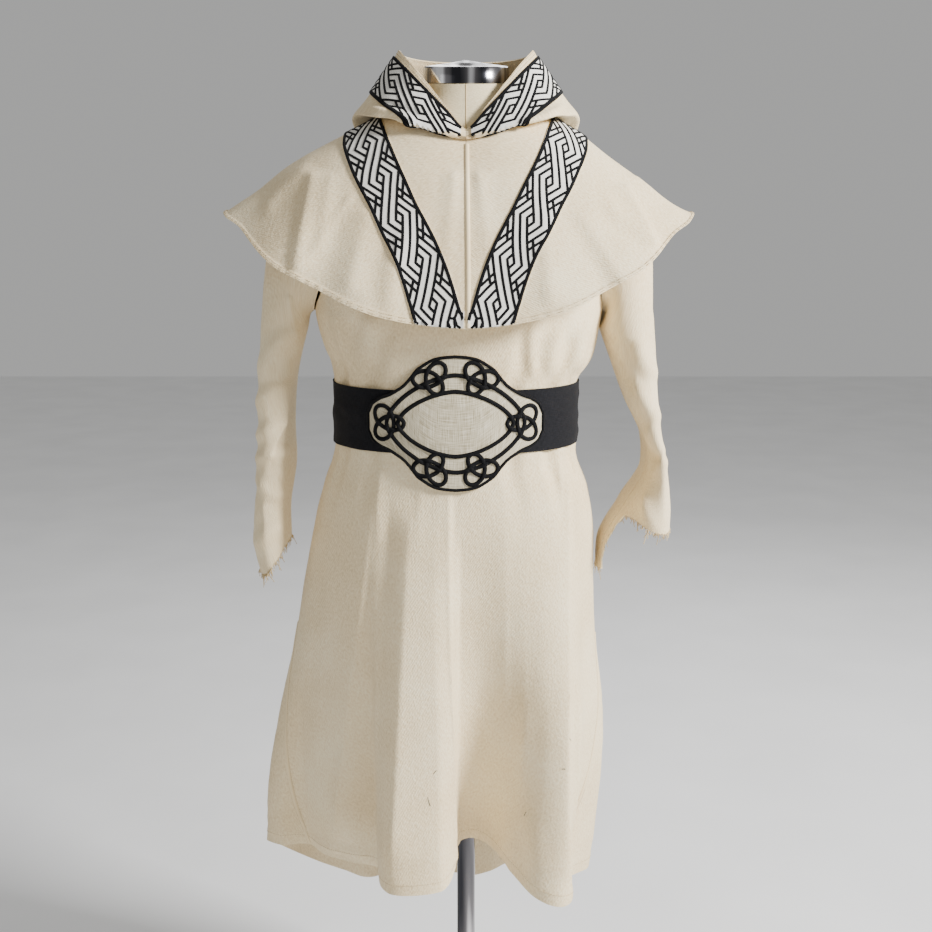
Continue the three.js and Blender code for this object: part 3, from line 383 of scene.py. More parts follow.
HOOD = Table("turn reach bulge_r bulge_z band_r band_z rim_r rim_z", [
    (0, 0.05, 89, 1483, 88, 1486, 82, 1493),
    (20, 0.12, 97, 1487, 94, 1496, 76, 1523),
    (40, 0.3, 112, 1500, 106, 1510, 75, 1551),
    (65, 1.0, 140, 1512, 124, 1530, 81, 1582),
    (90, 1.5, 155, 1516, 133, 1544, 91, 1603),
    (115, 2.1, 172, 1500, 140, 1545, 92, 1599),
    (145, 3.8, 190, 1440, 142, 1542, 90, 1597),
    (180, 4.8, 196, 1400, 144, 1540, 90, 1597),
])
HOOD_OFF = LAY_GAP + TRIM_CLOTH + 3 * LAY_GAP
HOOD_STOPS = np.array([0, 0.12, 0.24, 0.36, 0.46, 0.64, 0.82, 1.0])
HOOD_TRIM_TOP = 0.965
HOOD_FOLD = 0.585


def hood_point(turn, share):
    turn, share = np.broadcast_arrays(np.asarray(turn, float), np.asarray(share, float))
    row = HOOD.at(HOOD.where_key("turn", np.abs(turn_between(turn, 0))))
    s, c = np.sin(np.radians(turn)), np.cos(np.radians(turn))

    def round_neck(r, z):
        return stack(r * s, -r * c, z)

    bulge = round_neck(row["bulge_r"], row["bulge_z"])
    tip = off_cape(turn, row["reach"], (HOOD_OFF + 3 + row["reach"])[..., None])
    away = unit(stack(s, -c, -0.9 + 0 * s))
    tip = tip + away * np.minimum(6, np.linalg.norm(bulge - tip, axis=-1) * 0.25)[..., None]
    stops = [
        off_cape(turn, 0 * turn, HOOD_OFF),
        off_cape(turn, row["reach"] * 0.32, HOOD_OFF),
        off_cape(turn, row["reach"] * 0.65, HOOD_OFF + 0.6),
        off_cape(turn, row["reach"] * 0.93, HOOD_OFF + 1.6),
        tip,
        bulge,
        round_neck(row["band_r"], row["band_z"]),
        round_neck(row["rim_r"], row["rim_z"]),
    ]
    stops = np.stack(stops)
    last = len(HOOD_STOPS) - 1
    k = np.clip(np.searchsorted(HOOD_STOPS, share, side="left"), 1, last)
    t = ((share - HOOD_STOPS[k - 1]) / (HOOD_STOPS[k] - HOOD_STOPS[k - 1]))[..., None]

    def pick(which):
        return np.take_along_axis(stops, np.clip(which, 0, last)[None, ..., None], axis=0)[0]

    before, start, end, after = pick(k - 2), pick(k - 1), pick(k), pick(k + 1)
    return hermite(start, end, (end - before) / 2, (after - start) / 2, t)


# Belt, plate and dress form
BELT = {"low": 1066.0, "high": 1152.0}
BELT_MIDDLE = (BELT["low"] + BELT["high"]) / 2
PLATE = Table("across half", [
    (0, 92), (28, 88), (50, 74), (64, 56), (72, 48), (86, 39), (100, 33), (110, 25), (117, 10),
])
PLATE_X, PLATE_Z = -14.0, 1108.0
PLATE_REACH = 117.0
BELT_INDEX = float(ROBE.where("z", 1110))
FORM = Table("z side front back", [
    (806, 120, 76, 78), (816, 150, 96, 98), (850, 162, 105, 110), (910, 168, 108, 115),
    (990, 158, 104, 105), (1090, 146, 101, 97), (1190, 155, 108, 104), (1290, 168, 118, 113),
    (1365, 180, 114, 117), (1418, 189, 100, 112), (1446, 187, 91, 104), (1464, 178, 84, 98),
    (1479, 160, 78, 92), (1493, 137, 73, 86), (1506, 114, 69, 79), (1518, 92, 65, 73),
    (1530, 72, 62, 66), (1542, 62, 60, 61), (1560, 57, 58, 57),
])
NECK_TILT = 14.0


def belt_point(turn, z, out):
    row = ROBE.at(np.full(np.shape(turn), BELT_INDEX))
    x, y, away = ring(row, turn)
    return stack(x + away[..., 0] * out, y + away[..., 1] * out, z)


def plate_point(x, z, out):
    row = ROBE.at(BELT_INDEX)
    middle, half = (row["left"] + row["right"]) / 2, (row["right"] - row["left"]) / 2
    turn = np.degrees(np.arcsin(np.clip(power((x - middle) / half, 1 / BOX), -1, 1)))
    return belt_point(turn, z, out)


def form_point(turn, index):
    row = FORM.at(index)
    s, c = np.sin(np.radians(turn)), np.cos(np.radians(turn))
    depth = np.where(c > 0, row["front"], row["back"])
    tilt = smooth((row["z"] - 1530) / 30) * NECK_TILT
    return stack(row["side"] * power(s, 0.92), -depth * power(c, 0.92), row["z"] - c * tilt / 2)


# Trim on the cape: the middle of a band that runs from the hem's front up over the shoulder
CAPE_TRIM = Table("turn index", [
    (3, 7.7), (5.2, 6.6), (8.8, 5.3), (13, 4.45), (19.8, 3.7), (27.8, 3.08), (39, 2.55), (51, 2.2),
    (68, 1.9), (86, 1.75), (104, 1.85), (122, 2.2),
])


def trim_spot(across, along):
    """The turn and row of the cape that lie across from a point of the trim's middle line."""
    def middle(along):
        row = CAPE_TRIM.at(np.clip(along, 0, CAPE_TRIM.last))
        return row["turn"], row["index"]

    turn, index = middle(along)
    path = cape_point(*middle(along + 0.05)) - cape_point(*middle(along - 0.05))
    by_turn = cape_point(turn + 0.5, index) - cape_point(turn - 0.5, index)
    by_index = (cape_point(turn, index + 0.02) - cape_point(turn, index - 0.02)) * 25
    normal = unit(np.cross(by_index, by_turn))
    sideways = np.cross(normal, unit(path)) * (np.asarray(across) * TRIM_WIDTH / 2)[..., None]
    a, b, c = (by_turn * by_turn).sum(-1), (by_turn * by_index).sum(-1), (by_index * by_index).sum(-1)
    p, q = (sideways * by_turn).sum(-1), (sideways * by_index).sum(-1)
    det = a * c - b * b
    return turn + (p * c - q * b) / det, index + (q * a - p * b) / det


# Creases, placed on both faces: from x0, z0 to x1, z1 as seen from the front, half the width, the
# height of the ridge, and the face, 1 for the front and -1 for the back. A trough runs beside each ridge.
ROBE_CREASES = [
    (-176, 1330, -128, 1236, 15, 4.0, 1), (-186, 1290, -156, 1176, 10, 4.4, 1),
    (-122, 1250, -136, 1164, 12, 3.4, 1), (-88, 1226, -104, 1160, 10, 2.0, 1),
    (88, 1240, 94, 1158, 8, 2.8, 1), (126, 1232, 117, 1160, 10, 3.4, 1),
    (176, 1326, 138, 1226, 15, 4.2, 1), (182, 1262, 152, 1168, 11, 4.0, 1),
    (-216, 820, -226, 600, 15, 3.6, 1), (-150, 640, -176, 470, 14, 2.6, 1), (88, 700, 104, 470, 15, 2.6, 1),
    (-150, 1330, -100, 1210, 15, 3.6, -1), (150, 1330, 104, 1210, 15, 3.6, -1),
    (-40, 1300, -60, 1166, 14, 2.4, -1), (50, 1280, 64, 1166, 14, 2.6, -1),
    (-130, 1056, -176, 780, 15, 5.0, -1), (-70, 1046, -96, 660, 17, 4.6, -1),
    (6, 1054, -6, 600, 18, 4.6, -1), (72, 1050, 92, 680, 15, 4.8, -1), (124, 1054, 156, 840, 14, 4.8, -1),
    (-150, 700, -176, 420, 18, 2.6, -1), (40, 620, 52, 380, 17, 2.4, -1), (130, 640, 150, 430, 16, 2.2, -1),
]
# Folds of the front with a crest, placed the same way: from x0, z0 down to x1, z1 along the crest, how wide
# the cloth rises on its left and on its right, and its height at both ends. Below zero it makes a trough.
SKIRT_FOLDS = [
    (-23, 1024, -24, 460, 60, 9, 3.2, 13.0), (-8, 960, -6, 480, 8, 64, -2.0, -9.0),
    (-76, 990, -104, 500, 32, 60, 4.0, 11.0), (-104, 990, -142, 480, 34, 26, -2.4, -7.0),
    (-122, 1024, -194, 500, 42, 24, 2.4, 9.0), (141, 1054, 146, 430, 66, 9, 3.2, 10.0),
    (155, 860, 158, 480, 8, 22, -1.6, -5.0), (52, 990, 64, 480, 48, 72, 1.6, 8.0),
    (151, 1058, 158, 950, 7, 12, 4.6, 1.0), (128, 1060, 131, 990, 8, 7, 3.6, 0.8),
    (-118, 1054, -122, 950, 6, 14, 2.2, 1.0), (-60, 1040, -66, 960, 12, 16, 1.6, 0.8),
    (-238, 780, -238, 470, 30, 24, 1.0, 4.0),
]
SLEEVE_FOLDS = [
    (-240, 1146, -275, 1052, 24, 5, 3.0, 7.0), (-275, 1052, -256, 1008, 8, 12, 2.6, 1.2),
    (-268, 1030, -272, 938, 12, 5, 1.6, 2.8), (-242, 1276, -234, 1190, 12, 5, 2.0, 2.4),
    (-282, 1240, -290, 1120, 12, 16, 1.2, 2.4), (-292, 1010, -286, 930, 7, 12, 2.2, 1.2),
    (225, 1142, 254, 1062, 6, 24, 2.0, 3.6), (256, 1020, 254, 965, 8, 14, 3.0, 1.6),
    (262, 1250, 268, 1090, 22, 14, 1.8, 3.0), (278, 1030, 282, 930, 16, 9, 1.4, 2.6),
]
CAPE_FOLD_LINES = [
    (-203, 1440, -222, 1318, 15, 40, 4.0, 8.5), (-149, 1410, -210, 1320, 6, 7, 2.2, 1.6),
    (-128, 1390, -150, 1290, 34, 22, 2.0, 4.5), (-14, 1440, -24, 1320, 22, 12, 3.2, 1.4),
    (16, 1440, 26, 1340, 14, 24, 3.0, 1.4), (146, 1388, 204, 1296, 24, 40, 2.6, 5.0),
    (212, 1424, 250, 1346, 26, 12, 4.5, 5.5), (98, 1390, 108, 1280, 20, 30, 1.6, 3.6),
    (-178, 1436, -190, 1340, 12, 20, 1.2, 2.4), (228, 1436, 286, 1388, 14, 16, 2.6, 2.4),
]
SLEEVE_CREASES = [
    (-240, 1226, -288, 1168, 11, 3.6, 1), (-252, 1150, -298, 1118, 9, 3.6, 1),
    (-254, 1096, -300, 1072, 8, 4.0, 1), (-256, 1052, -302, 1040, 8, 4.2, 1),
    (-300, 1014, -262, 990, 9, 3.8, 1), (-266, 946, -304, 914, 10, 2.8, 1),
    (-282, 1190, -276, 940, 12, 1.4, 1), (-250, 1190, -296, 1130, 12, 2.2, -1),
    (-256, 1084, -300, 1050, 10, 2.6, -1), (-304, 1020, -262, 984, 11, 2.4, -1),
    (236, 1214, 266, 1160, 10, 3.6, 1), (236, 1150, 274, 1100, 9, 3.6, 1), (256, 1088, 280, 1052, 8, 3.2, 1),
    (284, 1044, 260, 1000, 8, 3.6, 1), (250, 990, 284, 930, 11, 3.4, 1), (226, 960, 262, 896, 10, 2.6, 1),
    (238, 1200, 272, 1120, 12, 2.2, -1), (260, 1070, 284, 1010, 10, 2.4, -1),
    (240, 980, 286, 910, 12, 2.0, -1),
]
CAPE_CREASES = [
    (-210, 1444, -270, 1388, 12, 3.0, 1), (-80, 1360, -98, 1258, 12, 2.4, 1),
    (184, 1404, 240, 1360, 10, 2.0, 1), (-120, 1380, -170, 1290, 16, 2.4, -1),
    (-60, 1330, -76, 1262, 14, 2.0, -1), (50, 1330, 70, 1262, 14, 2.2, -1),
    (130, 1390, 180, 1290, 16, 2.6, -1), (-200, 1430, -256, 1380, 14, 2.2, -1),
    (200, 1430, 250, 1380, 14, 2.2, -1),
]
HOOD_CREASES = [
    (-66, 1500, -124, 1520, 6, 4.0, 1), (-96, 1492, -140, 1506, 7, 3.2, 1), (74, 1502, 128, 1524, 6, 3.4, 1),
    (106, 1492, 142, 1508, 7, 2.8, 1), (-110, 1520, -60, 1440, 13, 2.6, -1),
    (-30, 1500, -46, 1420, 14, 2.4, -1), (36, 1506, 30, 1424, 14, 2.6, -1),
    (112, 1520, 70, 1446, 13, 2.4, -1), (0, 1530, 4, 1470, 11, 1.8, -1),
]


def crease_relief(points, rows):
    """How far the creases carry the cloth out, in millimetres."""
    total = np.zeros(points.shape[:-1])
    flat = points[..., [0, 2]]
    for x0, z0, x1, z1, half, height, face in rows:
        start, run = np.array([x0, z0], float), np.array([x1 - x0, z1 - z0], float)
        length = np.hypot(*run)
        along = ((flat - start) @ run) / length**2
        aside = ((flat[..., 0] - x0) * run[1] - (flat[..., 1] - z0) * run[0]) / length
        bow = aside - half * 0.5 * np.sin(math.pi * np.clip(along, 0, 1))
        fade = smooth((along + 0.18) / 0.34) * smooth((1.18 - along) / 0.34)
        ridge = np.exp(-((bow / half) ** 2)) - 0.55 * np.exp(-(((bow - 1.7 * half) / half) ** 2))
        total += height * ridge * fade * smooth((-face * points[..., 1] + 20) / 60)
    return total


def fold_relief(points, rows):
    """How far the front's folds carry the cloth out. Each has a crest, and may be steeper on one side."""
    total = np.zeros(points.shape[:-1])
    for x0, z0, x1, z1, left, right, top, bottom in rows:
        down = (z0 - points[..., 2]) / (z0 - z1)
        aside = points[..., 0] - mix(x0, x1, down)
        near = np.clip(1 - np.where(aside < 0, -aside / left, aside / right), 0, 1)
        fade = smooth(down / 0.12 + 0.3) * smooth((1.2 - down) / 0.25)
        total += mix(top, bottom, np.clip(down, 0, 1)) * near * np.sqrt(near) * fade
    return total * smooth((20 - points[..., 1]) / 60)


LATTICE = np.random.default_rng(17).uniform(-1, 1, (32, 32, 32))


def unevenness(points, size):
    """Smooth seeded noise from -1 to 1, with lumps of the given size."""
    place = points / size + 200
    base = np.floor(place).astype(int)
    f = place - base
    f = f * f * (3 - 2 * f)
    total = np.zeros(points.shape[:-1])
    for corner in np.ndindex(2, 2, 2):
        weight = np.prod([f[..., k] if corner[k] else 1 - f[..., k] for k in range(3)], axis=0)
        at = (base + np.array(corner)) % 32
        total += weight * LATTICE[at[..., 0], at[..., 1], at[..., 2]]
    return total


def handle(points):
    """The uneven hand of washed cotton."""
    return 0.6 * unevenness(points, 70) + 0.4 * unevenness(points, 31) + 0.22 * unevenness(points, 11)


def robe_relief(points, turn, index):
    z = points[..., 2]
    clear_of_belt = smooth((np.abs(z - BELT_MIDDLE) - 49) / 30)
    under_cape = smooth((1400 - z) / 80)
    from_hem = hem_distance(index)
    hem_band = 0.9 * smooth((26 - from_hem) / 4)
    drawn = 1.3 * unevenness(points * np.array([0.5, 0.5, 1.9]), 24) * smooth((90 - from_hem) / 70)
    lines = crease_relief(points, ROBE_CREASES) + fold_relief(points, SKIRT_FOLDS)
    return (lines + handle(points)) * clear_of_belt * under_cape + drawn + hem_band


def hem_distance(index):
    """About how far up from the hem a row lies, along the cloth."""
    return (ROBE.at(index)["z"] - HEM_Z) * 1.06


def sleeve_relief(points, around, row):
    away = smooth((np.minimum(around, 1 - around) - 0.03) / 0.1)
    lines = crease_relief(points, SLEEVE_CREASES) + fold_relief(points, SLEEVE_FOLDS)
    return (lines + 0.8 * handle(points)) * away * smooth(row / 0.6)


def cape_relief(points, turn, index):
    covered = HOOD.at(HOOD.where_key("turn", np.abs(turn_between(turn, 0))))["reach"]
    free = smooth((index - covered - 0.35) / 0.9)
    from_hem = (CAPE_LAST - index) * CAPE_ROW
    pucker = 0.9 * np.sin(turn * 2.6 + 3 * unevenness(points, 40)) * smooth((15 - from_hem) / 9)
    hem_band = 1.3 * smooth((11 - from_hem) / 3)
    lines = crease_relief(points, CAPE_CREASES) + fold_relief(points, CAPE_FOLD_LINES)
    return (lines + 0.9 * handle(points)) * free + pucker + hem_band


def hood_relief(points, turn, share):
    rolled = smooth((share - 0.47) / 0.12)
    turned_edge = 0.7 * smooth((share - 0.972) / 0.008)
    return (crease_relief(points, HOOD_CREASES) + 0.8 * handle(points)) * rolled + turned_edge


def belt_relief(points, turn, z):
    beside_plate = np.where(points[..., 1] < 0, smooth((np.abs(points[..., 0] - PLATE_X) - 120) / 14), 1)
    broad = 1.3 * unevenness(points * np.array([1, 1, 3.2]), 46)
    fine = 0.8 * unevenness(points * np.array([1, 1, 2]), 21)
    return beside_plate * (broad + fine)


def plate_relief(points, x, share):
    lens = ((x - PLATE_X) / 74) ** 2 + ((points[..., 2] - PLATE_Z) / 44) ** 2
    return 1.4 * smooth((1.1 - lens) / 0.8) + 0.3 * unevenness(points, 24)


class Surface:
    """A sheet's outer face: its plain form, the side that it faces, and the relief that is added to it."""

    def __init__(self, place, side, relief, steps):
        self.place, self.side, self.relief, self.steps = place, side, relief, steps

    def normal(self, u, v):
        du, dv = self.steps
        along_u = self.place(u + du, v) - self.place(u - du, v)
        along_v = self.place(u, v + dv) - self.place(u, v - dv)
        return unit(np.cross(along_u, along_v)) * self.side

    def at(self, u, v, out=0.0):
        base = self.place(u, v)
        reach = self.relief(base, u, v) + out
        return base + self.normal(u, v) * reach[..., None]


def off_middle(place, side):
    shift = np.array([side * SEAM_GAP * 0.8, 0, 0])
    return lambda u, v: place(u, v) + shift


ROBE_CLOTH = Surface(robe_point, 1, robe_relief, (0.15, 0.02))
SLEEVE_CLOTH = {
    side: Surface(lambda u, v, side=side: sleeve_point(side, u, v), -side, sleeve_relief, (0.002, 0.004))
    for side in (-1, 1)
}
CAPE_CLOTH = {side: Surface(off_middle(cape_point, side), -1, cape_relief, (0.4, 0.02)) for side in (-1, 1)}
HOOD_CLOTH = {side: Surface(off_middle(hood_point, side), 1, hood_relief, (0.4, 0.004)) for side in (-1, 1)}
BELT_OUT = SEAM_GAP + BELT_CLOTH
BELT_FACE = Surface(lambda u, v: belt_point(u, v, BELT_OUT), 1, belt_relief, (0.3, 1.0))
PLATE_OUT = BELT_OUT + SEAM_GAP + PLATE_CLOTH


def plate_half(x):
    return PLATE.at(PLATE.where_key("across", np.abs(x - PLATE_X)))["half"]


def plate_face(x, share):
    return plate_point(x, PLATE_Z + share * plate_half(x), PLATE_OUT)


PLATE_FACE = Surface(plate_face, 1, plate_relief, (0.3, 0.01))


# Meshes: how many columns and rows of points each sheet has
GRIDS = {
    "front": (216, 200), "back": (120, 140), "gore": (24, 90), "sleeve": (78, 150), "cape": (140, 110),
    "hood": (130, 130), "cape_trim": (15, 240), "hood_trim": (150, 20), "belt": (320, 34),
    "plate": (130, 80),
}
CLOTH_SHARP = 50
CORD_SHARP = 80


class Bag:
    """Gathers vertices, faces and cloth coordinates for one mesh."""

    def __init__(self):
        self.points, self.faces, self.uvs, self.count = [], [], [], 0

    def add(self, points, faces, uvs=None):
        self.points.append(points)
        self.faces.extend((np.asarray(f) + self.count).tolist() for f in faces)
        self.uvs.append(np.zeros((len(points), 2)) if uvs is None else uvs)
        self.count += len(points)

    def make(self, name, material, sharp=CLOTH_SHARP):
        points = np.concatenate(self.points) * MM
        mesh = bpy.data.meshes.new(name)
        mesh.from_pydata(points.tolist(), [], [face for block in self.faces for face in block])
        mesh.polygons.foreach_set("use_smooth", np.ones(len(mesh.polygons), bool))
        mesh.set_sharp_from_angle(angle=math.radians(sharp))
        uvs = np.concatenate(self.uvs) * MM
        corners = np.zeros(len(mesh.loops), int)
        mesh.loops.foreach_get("vertex_index", corners)
        mesh.uv_layers.new(name="cloth").data.foreach_set("uv", uvs[corners].astype(np.float32).ravel())
        mesh.materials.append(material)
        piece = bpy.data.objects.new(name, mesh)
        bpy.context.collection.objects.link(piece)
        return piece


def lengths_along(grid, axis):
    steps = np.linalg.norm(np.diff(grid, axis=axis), axis=-1)
    start = np.zeros_like(np.take(steps, [0], axis=axis))
    return np.concatenate([start, np.cumsum(steps, axis=axis)], axis=axis)


def cloth_uvs(grid):
    """Cloth coordinates in real size: across from the middle column, and up from the low edge."""
    across = lengths_along(grid, 1)
    middle = grid.shape[1] // 2
    return np.stack([across - across[:, middle : middle + 1], lengths_along(grid, 0)], axis=-1)


def quads(rows, columns, closed):
    i, j = np.ogrid[: rows - 1, : columns if closed else columns - 1]
    low, high, right = i * columns, (i + 1) * columns, (j + 1) % columns
    return np.stack([low + j, low + right, high + right, high + j], -1)


def shell(bag, outer, inner, turned_round=False, closed=False):
    """Two grids of points as a closed sheet with its cut edges."""
    rows, columns = outer.shape[:2]
    offset = rows * columns
    front = quads(rows, columns, closed).reshape(-1, 4)
    faces = [front, front[:, ::-1] + offset]
    edge = np.arange(columns)
    ahead = (edge + 1) % columns
    if not closed:
        edge, ahead = edge[:-1], ahead[:-1]
    top = (rows - 1) * columns
    faces.append(np.stack([edge, edge + offset, ahead + offset, ahead], -1))
    faces.append(np.stack([top + ahead, top + ahead + offset, top + edge + offset, top + edge], -1))
    if not closed:
        low = np.arange(rows - 1) * columns
        high = low + columns
        last = columns - 1
        faces.append(np.stack([high, high + offset, low + offset, low], -1))
        faces.append(np.stack([low + last, low + last + offset, high + last + offset, high + last], -1))
    if turned_round:
        faces = [f[:, ::-1] for f in faces]
    points = np.concatenate([outer.reshape(-1, 3), inner.reshape(-1, 3)])
    uvs = cloth_uvs(outer).reshape(-1, 2)
    bag.add(points, faces, np.concatenate([uvs, uvs]))


CUTS = {}


def cut_size(grid):
    """The cloth's flat width and length in metres, and its area."""
    wide, long = lengths_along(grid, 1)[:, -1].max(), lengths_along(grid, 0)[-1].max()
    a, b, c, d = grid[:-1, :-1], grid[:-1, 1:], grid[1:, 1:], grid[1:, :-1]
    area = np.linalg.norm(np.cross(c - a, d - b), axis=-1).sum() / 2
    return wide * MM, long * MM, area * MM * MM


def sheet_piece(name, surface, u, v, thickness, material, lift=0.0, closed=False, plain_back=False):
    """A sheet between a surface's grid of places and the same grid one thickness further in."""
    bag = Bag()
    outer = surface.at(u, v, lift)
    if plain_back:
        inner = surface.place(u, v) + surface.normal(u, v) * (lift - thickness)
    else:
        inner = surface.at(u, v, lift - thickness)
    facing = np.cross(np.gradient(outer, axis=1), np.gradient(outer, axis=0))
    turned_round = (facing * surface.normal(u, v)).sum() < 0
    shell(bag, outer, inner, turned_round, closed)
    piece = bag.make(f"{name}_cloth", material)
    CUTS[piece.name] = cut_size(outer)
    return piece


def settle(piece, slot, replaced=()):
    """Puts a piece on the part's one body and hides the nodes that it replaces; the slot is not used."""
    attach(piece, "root")
    if replaced:
        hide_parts(*replaced)
    return piece


def declare(piece, with_pieces=()):
    """Looks up a sheet's cut, which is its own flat size, and does nothing further with it."""
    wide, long, area = CUTS[piece.name]
    area = min(area, wide * long)
    with_pieces = list(with_pieces)


HALF_ROUND = np.radians([180, 135, 90, 45, 0])


def ribbon(bag, path, ups, width, height, closed=False):
    """A half-round cord along a path, lying on a surface whose outward direction is ups."""
    if len(path) < 2:
        return
    if closed:
        along = unit(np.roll(path, -1, axis=0) - np.roll(path, 1, axis=0))
    else:
        along = unit(np.gradient(path, axis=0))
    aside = unit(np.cross(along, ups))
    profile_x, profile_y = np.cos(HALF_ROUND) * width / 2, np.sin(HALF_ROUND) * height
    rings = path[:, None] + aside[:, None] * profile_x[:, None] + ups[:, None] * profile_y[:, None]
    count, sides = len(path), len(HALF_ROUND)
    i = np.arange(count if closed else count - 1)[:, None]
    k = np.arange(sides)[None, :]
    here, following, beside = i * sides, (i + 1) % count * sides, (k + 1) % sides
    skin = np.stack([here + k, here + beside, following + beside, following + k], -1)
    faces = [skin.reshape(-1, 4)[:, ::-1]]
    if not closed:
        faces.append(np.arange(sides)[None, :])
        faces.append((np.arange(sides)[::-1] + (count - 1) * sides)[None, :])
    bag.add(rings.reshape(-1, 3), faces)


def stitch_row(bag, path, ups, step=3.4, length=2.3, width=0.7, height=0.45):
    """Small raised stitches along a path."""
    lengths = lengths_along(path[:, None], 0)[:, 0]
    for start in np.arange(step, lengths[-1] - step, step):
        at = np.array([start, start + length / 2, start + length])
        middle = np.stack([np.interp(at, lengths, path[:, k]) for k in range(3)], -1)
        up = unit(np.stack([np.interp(at, lengths, ups[:, k]) for k in range(3)], -1))
        middle = middle + up * np.array([0.0, 0.12, 0.0])[:, None]
        ribbon(bag, middle, up, width, height)


def on_surface(surface, u, v, out=0.0):
    """Points on a surface and their outward directions."""
    u, v = np.broadcast_arrays(np.asarray(u, float), np.asarray(v, float))
    return surface.at(u, v, out), surface.normal(u, v)


# Materials
def srgb(red, green, blue):
    def linear(value):
        value /= 255
        return value / 12.92 if value <= 0.04045 else ((value + 0.055) / 1.055) ** 2.4

    return linear(red), linear(green), linear(blue), 1.0


class Nodes:
    """A material's tree with short calls for the nodes that cloth needs."""

    def __init__(self, name, roughness, sheen=0.0, metallic=0.0):
        self.material = bpy.data.materials.new(name)
        self.material.use_nodes = True
        self.tree = self.material.node_tree
        self.shader = self.tree.nodes["Principled BSDF"]
        self.shader.inputs["Roughness"].default_value = roughness
        self.shader.inputs["Metallic"].default_value = metallic
        self.shader.inputs["Sheen Weight"].default_value = sheen
        self.shader.inputs["Specular IOR Level"].default_value = 0.5 if metallic else 0.25
        self.cloth = self.node("ShaderNodeUVMap", uv_map="cloth").outputs[0]
        self.space = self.node("ShaderNodeTexCoord").outputs["Object"]

    def node(self, kind, **settings):
        made = self.tree.nodes.new(kind)
        for key, value in settings.items():
            setattr(made, key, value)
        return made

    def link(self, source, target):
        self.tree.links.new(source, target)

    def scaled(self, source, scale, turn=0.0):
        mapping = self.node("ShaderNodeMapping")
        mapping.inputs["Scale"].default_value = scale
        mapping.inputs["Rotation"].default_value = (0, 0, math.radians(turn))
        self.link(source, mapping.inputs["Vector"])
        return mapping.outputs[0]

    def noise(self, source, scale, detail=3.0):
        made = self.node("ShaderNodeTexNoise")
        made.inputs["Scale"].default_value = scale
        made.inputs["Detail"].default_value = detail
        self.link(source, made.inputs["Vector"])
        return made.outputs["Fac"]

    def wave(self, source, scale, distortion=0.0):
        made = self.node("ShaderNodeTexWave")
        made.inputs["Scale"].default_value = scale
        made.inputs["Distortion"].default_value = distortion
        made.inputs["Detail Scale"].default_value = 2.0
        self.link(source, made.inputs["Vector"])
        return made.outputs["Fac"]

    def math(self, operation, first, second):
        made = self.node("ShaderNodeMath", operation=operation)
        for k, value in enumerate((first, second)):
            if isinstance(value, (int, float)):
                made.inputs[k].default_value = value
            else:
                self.link(value, made.inputs[k])
        return made.outputs[0]

    def weighted(self, *terms):
        """The sum of some outputs, each times its share."""
        total = None
        for output, share in terms:
            part = self.math("MULTIPLY", output, share)
            total = part if total is None else self.math("ADD", total, part)
        return total

    def ramp(self, factor, stops):
        made = self.node("ShaderNodeValToRGB")
        made.color_ramp.elements[0].position, made.color_ramp.elements[0].color = stops[0]
        made.color_ramp.elements[1].position, made.color_ramp.elements[1].color = stops[-1]
        for position, color in stops[1:-1]:
            made.color_ramp.elements.new(position).color = color
        self.link(factor, made.inputs["Fac"])
        return made.outputs["Color"]

    def finish(self, color, height=None, strength=0.3, distance=0.0004, roughness=None):
        self.link(color, self.shader.inputs["Base Color"])
        if roughness is not None:
            self.link(roughness, self.shader.inputs["Roughness"])
        if height is not None:
            bump_node = self.node("ShaderNodeBump")
            bump_node.inputs["Strength"].default_value = strength
            bump_node.inputs["Distance"].default_value = distance
            self.link(height, bump_node.inputs["Height"])
            self.link(bump_node.outputs[0], self.shader.inputs["Normal"])
        return self.material


def twill(name, dark, middle, light, strength=0.6):
    """Cotton twill: diagonal ribs, uneven yarns along the cut, a nubbly hand and a soft cloudiness."""
    n = Nodes(name, roughness=0.92, sheen=0.12)
    ribs = n.wave(n.scaled(n.cloth, (1, 1, 1), 34), 95, 0.8)
    yarns = n.noise(n.scaled(n.cloth, (1500, 120, 1)), 1.0, 2)
    picks = n.noise(n.scaled(n.cloth, (110, 1300, 1)), 1.0, 2)
    clouds = n.noise(n.space, 9, 4)
    grain = n.weighted((yarns, 0.5), (picks, 0.5))
    nubs = n.noise(n.scaled(n.cloth, (330, 210, 1), 34), 1.0, 3)
    tone = n.weighted((grain, 0.3), (nubs, 0.4), (clouds, 0.3))
    low_ribs = n.math("MULTIPLY", ribs, 0.5)
    height = n.math("ADD", low_ribs, n.math("ADD", grain, n.math("MULTIPLY", nubs, 2.2)))
    color = n.ramp(tone, [(0.36, dark), (0.5, middle), (0.64, light)])
    return n.finish(color, height, strength, 0.0006)


def trim_weave():
    """A close satin ground with fine ribs across the band."""
    n = Nodes("trim_weave", roughness=0.7, sheen=0.1)
    ribs = n.wave(n.scaled(n.cloth, (1, 1, 1), 90), 190, 0.4)
    mottle = n.noise(n.scaled(n.cloth, (500, 500, 1)), 1.0, 2)
    tone = n.weighted((ribs, 0.3), (mottle, 0.7))
    stops = [(0.3, srgb(205, 200, 190)), (0.5, srgb(232, 229, 220)), (0.7, srgb(246, 244, 238))]
    return n.finish(n.ramp(tone, stops), ribs, 0.35)


def black_yarn(name, light, rib_scale):
    """Twisted black yarn."""
    n = Nodes(name, roughness=0.85, sheen=0.03)
    n.shader.inputs["Specular IOR Level"].default_value = 0.12
    twist = n.wave(n.scaled(n.space, (1, 1, 1), 40), rib_scale, 1.5)
    fuzz = n.noise(n.space, 900, 2)
    tone = n.weighted((twist, 0.4), (fuzz, 0.6))
    return n.finish(n.ramp(tone, [(0.35, srgb(5, 5, 6)), (0.7, light)]), tone, 0.6)


